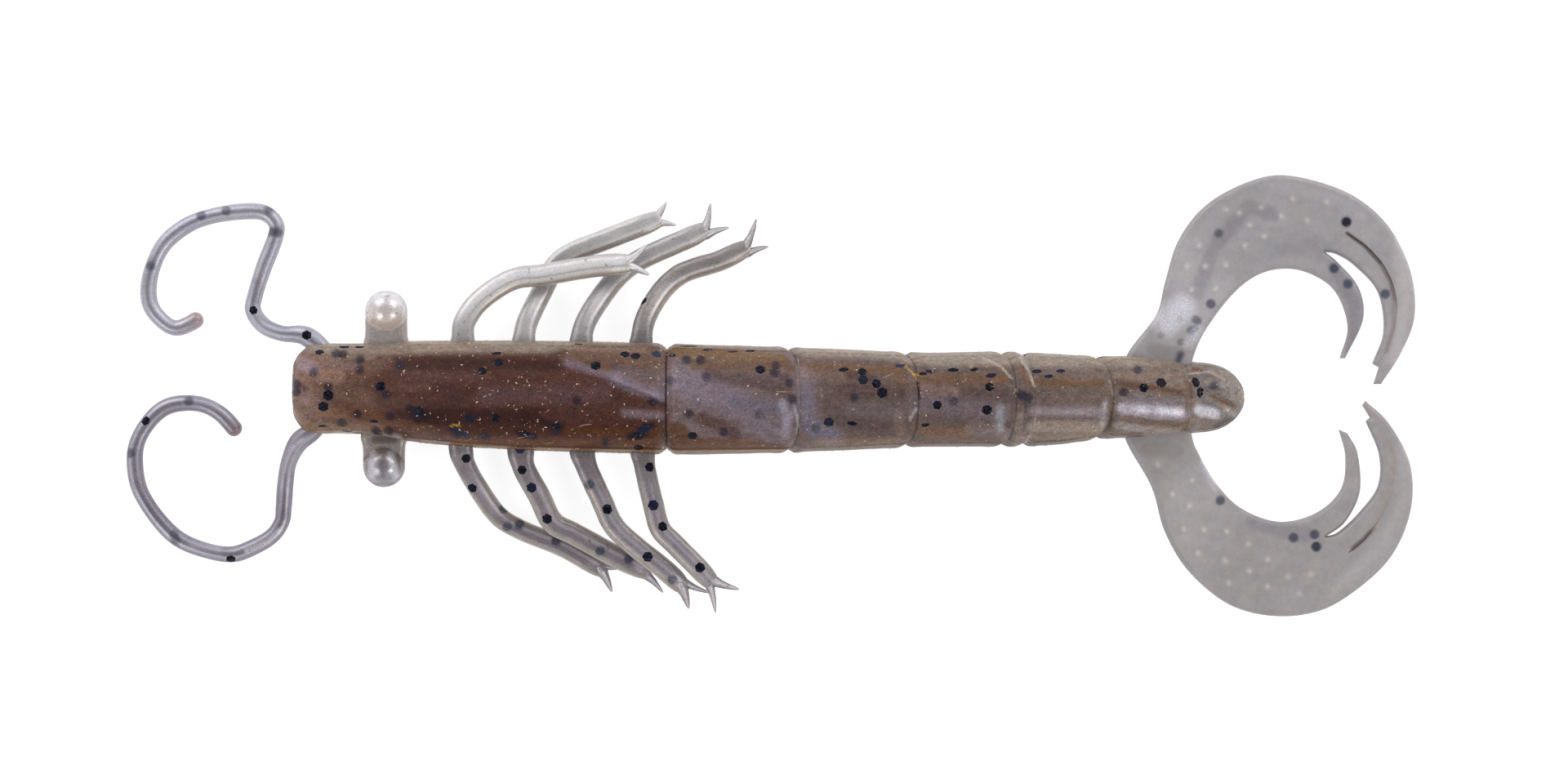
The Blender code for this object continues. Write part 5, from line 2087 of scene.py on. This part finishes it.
DEEP_FLAKE, FAINT_FLAKE = (52, 60, 84), (92, 98, 118)
RIGHT_CLAW_MIDDLE = (
    (34.9, 1.4), (35.6, 3.9), (37.6, 7.2), (39.4, 10.3), (41.6, 12.7), (45.0, 14.3), (49.5, 13.2),
)
LEFT_CLAW_MIDDLE = (
    (34.9, -1.1), (35.5, -3.4), (37.3, -7.4), (39.4, -10.9), (42.4, -13.0), (46.0, -13.4), (49.6, -12.2),
)
RIGHT_CLAW = Claw(
    Side.RIGHT,
    outer=Border(
        ((31.7, 1.4), (31.6, 3.9), (34.2, 7.5), (35.1, 10.6), (36.4, 14.3), (39.0, 17.5), (43.0, 19.6),
         (46.5, 20.0), (51.5, 18.5)),
        ((51.5, 18.5), (55.0, 15.7), (57.1, 11.6), (57.5, 7.5), (56.3, 4.2), (54.5, 1.4)),
    ),
    slot_outer=Border(
        RIGHT_CLAW_MIDDLE,
        ((49.5, 13.2), (50.5, 13.0), (52.1, 12.0), (54.2, 9.6), (54.7, 6.1), (53.7, 3.2)),
        ((54.3, 2.9), (53.8, 1.4)), True,
    ),
    slot_inner=Border(
        RIGHT_CLAW_MIDDLE,
        ((49.5, 13.2), (50.7, 12.2), (52.5, 10.0), (52.9, 7.2), (51.3, 3.7)), (), True,
    ),
    inner=Border(
        ((37.1, 1.4), (37.5, 3.7), (38.6, 6.1), (41.0, 9.2), (43.4, 11.1), (46.0, 11.7), (48.5, 11.1)),
        ((48.5, 11.1), (50.5, 9.5), (51.5, 6.5), (50.8, 3.7)),
    ),
    slit=(1649, 283, 1674, 300, 1694, 321, 1706, 343, 1711, 361, 1712, 387, 1702, 425, 1688, 448),
    slit_fade=(1.0, 1.0, 0.9, 0.8, 0.6, 0.3, 0.15, 0.1),
    tint=(170, 166, 169),
    strokes=(
        Stroke((1718, 300, 1725, 370, 1710, 435), 18, (200, 194, 195), 0.7, 1.0),
        Stroke((1560, 226, 1625, 238, 1670, 262), 12, (182, 179, 183), 0.5, 1.0),
        Stroke((1635, 325, 1662, 375, 1655, 425), 13, (146, 141, 147), 0.8),
        Stroke((1560, 305, 1610, 298, 1632, 312), 20, (148, 145, 150), 0.6, 1.0),
        Stroke((1652, 285, 1674, 301, 1692, 321), 3.5, (84, 70, 62), 0.9, 0.8),
        Stroke((1692, 321, 1705, 344, 1710, 366), 4, (104, 90, 82), 0.8, 1.0),
        # Painted shadow of the step, running on from the slit line
        Stroke((1710, 366, 1709, 400, 1700, 430), 6, (142, 130, 124), 0.6, 1.0),
        Stroke((1560, 262, 1530, 252, 1490, 300, 1465, 360), 14, (134, 130, 138), 0.5),
        Stroke((1430, 392, 1445, 378), 26, (196, 194, 202), 0.7),
        Stroke((1410, 428, 1440, 432), 12, (138, 131, 130), 0.6),
        Stroke((1560, 300, 1500, 315), 16, (168, 166, 168), 0.4),
        *dots((1651, 271), 8, (22, 26, 44), 1.0, 0.4),
        *dots((1636, 328), 8, DEEP_FLAKE, 0.9, 0.5),
        *dots((1653, 347, 1699, 359.5), 8, DEEP_FLAKE, 0.85, 0.5),
        *dots((1494, 285), 8, DEEP_FLAKE, 0.7, 0.6),
        *dots((1483, 372), 8, DEEP_FLAKE, 0.8, 0.5),
        Stroke((1463, 391, 1466, 393), 7, DEEP_FLAKE, 0.7, 0.6),
        Stroke((1457, 405, 1463, 403), 7, FAINT_FLAKE, 0.8, 0.6),
        Stroke((1445, 434, 1442, 441), 8, (48, 54, 76), 0.85, 1.0),
        *dots((1444, 391), 6, (140, 136, 128), 0.8, 0.5),
        *dots((1420.5, 410), 6, (132, 128, 116), 0.8, 0.5),
        *dots((1445, 419), 6, (124, 120, 110), 0.8, 0.5),
    ),
    pearls=(
        dust((1428, 396, 1448, 376), 26, 0.9),
        dust((1455, 420, 1466, 405), 12, 0.6),
    ),
    pimples=(
        1470, 300, 1454, 327, 1477, 326, 1503, 324, 1459, 355, 1489, 354, 1503, 256, 1519, 260,
        1532, 275, 1546, 253, 1571, 264, 1585, 243, 1603, 269, 1627, 247, 1526, 300, 1550, 289,
    ),
)
LEFT_CLAW = Claw(
    Side.LEFT,
    outer=Border(
        ((31.6, -1.1), (31.5, -3.5), (33.8, -7.7), (35.0, -11.6), (37.1, -15.1), (40.4, -18.0),
         (43.8, -19.2), (47.6, -19.2), (51.0, -17.9)),
        ((51.0, -17.9), (55.1, -14.4), (57.1, -10.1), (57.1, -5.8), (55.2, -2.1), (53.1, -0.1)),
    ),
    slot_outer=Border(
        LEFT_CLAW_MIDDLE,
        ((49.6, -12.2), (50.7, -11.8), (52.6, -10.0), (54.2, -7.7), (54.3, -4.9), (53.1, -1.9)),
        ((53.5, -1.6), (52.8, -0.5)), True,
    ),
    slot_inner=Border(
        LEFT_CLAW_MIDDLE,
        ((49.6, -12.2), (51.3, -10.9), (52.6, -8.2), (52.4, -4.8), (51.5, -3.0)), (), True,
    ),
    inner=Border(
        ((37.1, -1.1), (37.4, -3.2), (37.9, -4.6), (39.6, -7.4), (42.0, -9.7), (45.4, -10.9),
         (48.7, -10.1)),
        ((48.7, -10.1), (50.9, -8.0), (51.3, -5.1), (50.7, -2.65)),
    ),
    slit=(1652, 679, 1674, 660, 1695, 630, 1707, 600, 1710, 566, 1703, 540, 1692, 520),
    slit_fade=(1.0, 0.75, 0.2, 0.1, 0.08, 0.05, 0.0),
    tint=(168, 163, 164),
    strokes=(
        Stroke((1635, 724, 1698, 668, 1724, 605, 1722, 550), 16, (188, 184, 185), 0.6, 1.0),
        Stroke((1700, 530, 1705, 500), 9, (160, 157, 159), 0.6, 1.0),
        Stroke((1405, 550, 1440, 552), 14, (146, 140, 134), 0.5),
        Stroke((1474, 570, 1484, 592), 10, (172, 168, 180), 0.5),
        Stroke((1540, 640, 1600, 655), 16, (138, 134, 142), 0.5),
        *dots((1586, 659, 1612, 655, 1495, 613), 8, DEEP_FLAKE, 0.85, 0.5),
        *dots((1614, 670), 8, (36, 42, 64), 0.95, 0.45),
        Stroke((1659, 672, 1672, 661, 1684, 648), 4.5, (96, 84, 78), 0.85, 0.8),
        Stroke((1684, 648, 1700, 615, 1708, 585, 1709, 560, 1703, 538), 6, (168, 156, 148), 0.6, 1.0),
    ),
    pearls=(dust((1474, 566, 1488, 596), 9, 0.6),),
    pimples=(
        1417, 569, 1435, 605, 1456, 619.5, 1459, 588, 1450, 648.5, 1475, 649, 1504, 651, 1468, 677.5,
        1502, 687, 1531, 667, 1532, 700, 1506, 715, 1554, 686, 1554, 719, 1579, 707, 1607, 704,
        1593, 728,
    ),
    chips=((1459, 651.5, (10, 8, 10)), (1558, 742, (92, 44, 30)), (1522, 642.5, (70, 66, 76))),
)


@dataclass(frozen=True)
class Softbox:
    """A rectangular light that shines at the lure.

    Attributes:
        name: Its name.
        compass: Degrees round from +X.
        lean: Degrees down from straight up.
        width: Its width, in metres.
        depth: Its depth.
        power: Watts.
        distance: Metres from the lure.
    """

    name: str
    compass: float
    lean: float
    width: float
    depth: float
    power: float
    distance: float = 0.5

    def build(self) -> None:
        """Hangs the light on a sphere round the lure, facing its middle."""
        lamp = bpy.data.lights.new(self.name, "AREA")
        lamp.shape = "RECTANGLE"
        lamp.size, lamp.size_y = self.width, self.depth
        lamp.energy = self.power
        holder = place_in_scene(self.name, lamp)
        lean, compass = math.radians(self.lean), math.radians(self.compass)
        way = Vector((math.sin(lean) * math.cos(compass), math.sin(lean) * math.sin(compass), math.cos(lean)))
        holder.location = way * self.distance
        holder.rotation_mode = "QUATERNION"
        holder.rotation_quaternion = way.to_track_quat("Z", "Y")


@dataclass(frozen=True)
class Studio:
    """White table in a light tent, with a camera that looks straight down through the tent's dark hole.

    Lengths here are metres.
    """

    table_size: float = 3.0
    table_colour: Colour = (190, 190, 191)
    table_glow: float = 0.82
    table_z: float = -0.00005
    tent_strength: float = 0.55
    hole_strength: float = 0.16
    hole_edge: tuple[float, float] = (0.7, 0.92)
    picture_width: float = 0.1394
    picture_middle: tuple[float, float] = (0.00116, 0.00069)
    focus_z: float = 0.0025
    lens: float = 100.0
    sensor: float = 36.0
    lights: tuple[Softbox, ...] = (
        Softbox("upper_left_light", 127, 64, 0.34, 0.34, 0.75),
        Softbox("upper_right_light", 50, 64, 0.34, 0.34, 0.75),
        Softbox("lower_left_light", -143, 45, 0.2, 0.2, 0.42),
        Softbox("lower_right_light", -37, 45, 0.2, 0.2, 0.42),
    )

    def build_table(self) -> None:
        """The table: a plain white sheet with the faintest unevenness, a little lit from below."""
        half = self.table_size / 2
        mesh = bpy.data.meshes.new("table")
        corners = ((-half, -half), (half, -half), (half, half), (-half, half))
        mesh.from_pydata([(x, y, self.table_z) for x, y in corners], [], [(0, 1, 2, 3)])
        nodes = Nodes("white table")
        shade = nodes.vary(nodes.noise(nodes.place(), 0.4, 2.0), 0.97, 1.0)
        inputs = {
            "Base Color": nodes.scale(tuple(linear(self.table_colour)), shade),
            "Roughness": 0.9,
            "Specular IOR Level": 0.1,
            "Emission Color": (1.0, 1.0, 1.0, 1.0),
            "Emission Strength": self.table_glow,
        }
        nodes.fill(nodes.shader, inputs)
        mesh.materials.append(nodes.material)
        place_in_scene("table", mesh)

    def build_camera(self) -> None:
        """The camera: far enough above the lure for the photograph's width."""
        data = bpy.data.cameras.new("camera")
        data.lens = self.lens
        data.sensor_width = self.sensor
        camera = place_in_scene("camera", data)
        distance = self.picture_width * self.lens / self.sensor
        camera.location = (*self.picture_middle, self.focus_z + distance)
        bpy.context.scene.camera = camera

    def build_tent(self) -> None:
        """The tent: even white light from all round, which fades out towards the hole straight above."""
        world = bpy.data.worlds.new("tent")
        world.use_nodes = True
        tree = world.node_tree
        way = tree.nodes.new("ShaderNodeTexCoord")
        split = tree.nodes.new("ShaderNodeSeparateXYZ")
        strength = tree.nodes.new("ShaderNodeMapRange")
        strength.interpolation_type = "SMOOTHSTEP"
        settings = (*self.hole_edge, self.tent_strength, self.hole_strength)
        for socket, value in zip(strength.inputs[1:5], settings):
            socket.default_value = value
        tree.links.new(way.outputs["Generated"], split.inputs[0])
        tree.links.new(split.outputs["Z"], strength.inputs[0])
        background = tree.nodes["Background"]
        background.inputs["Color"].default_value = (1.0, 1.0, 1.0, 1.0)
        tree.links.new(strength.outputs[0], background.inputs["Strength"])
        bpy.context.scene.world = world

    def build(self) -> None:
        """Builds the table, the lights, the tent and the camera."""
        self.build_table()
        self.build_camera()
        self.build_tent()
        for light in self.lights:
            light.build()
        bpy.context.scene.view_settings.view_transform = "Standard"


def main() -> None:
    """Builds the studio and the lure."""
    logging.basicConfig(level=logging.INFO, format="%(name)s: %(message)s")
    Studio().build()
    finishes = Finishes.build()
    Body().build(finishes)
    for piece in (*EYES, *FEELERS, *LEGS, RIGHT_CLAW, LEFT_CLAW):
        piece.build(finishes)


if __name__ == "__main__":
    main()
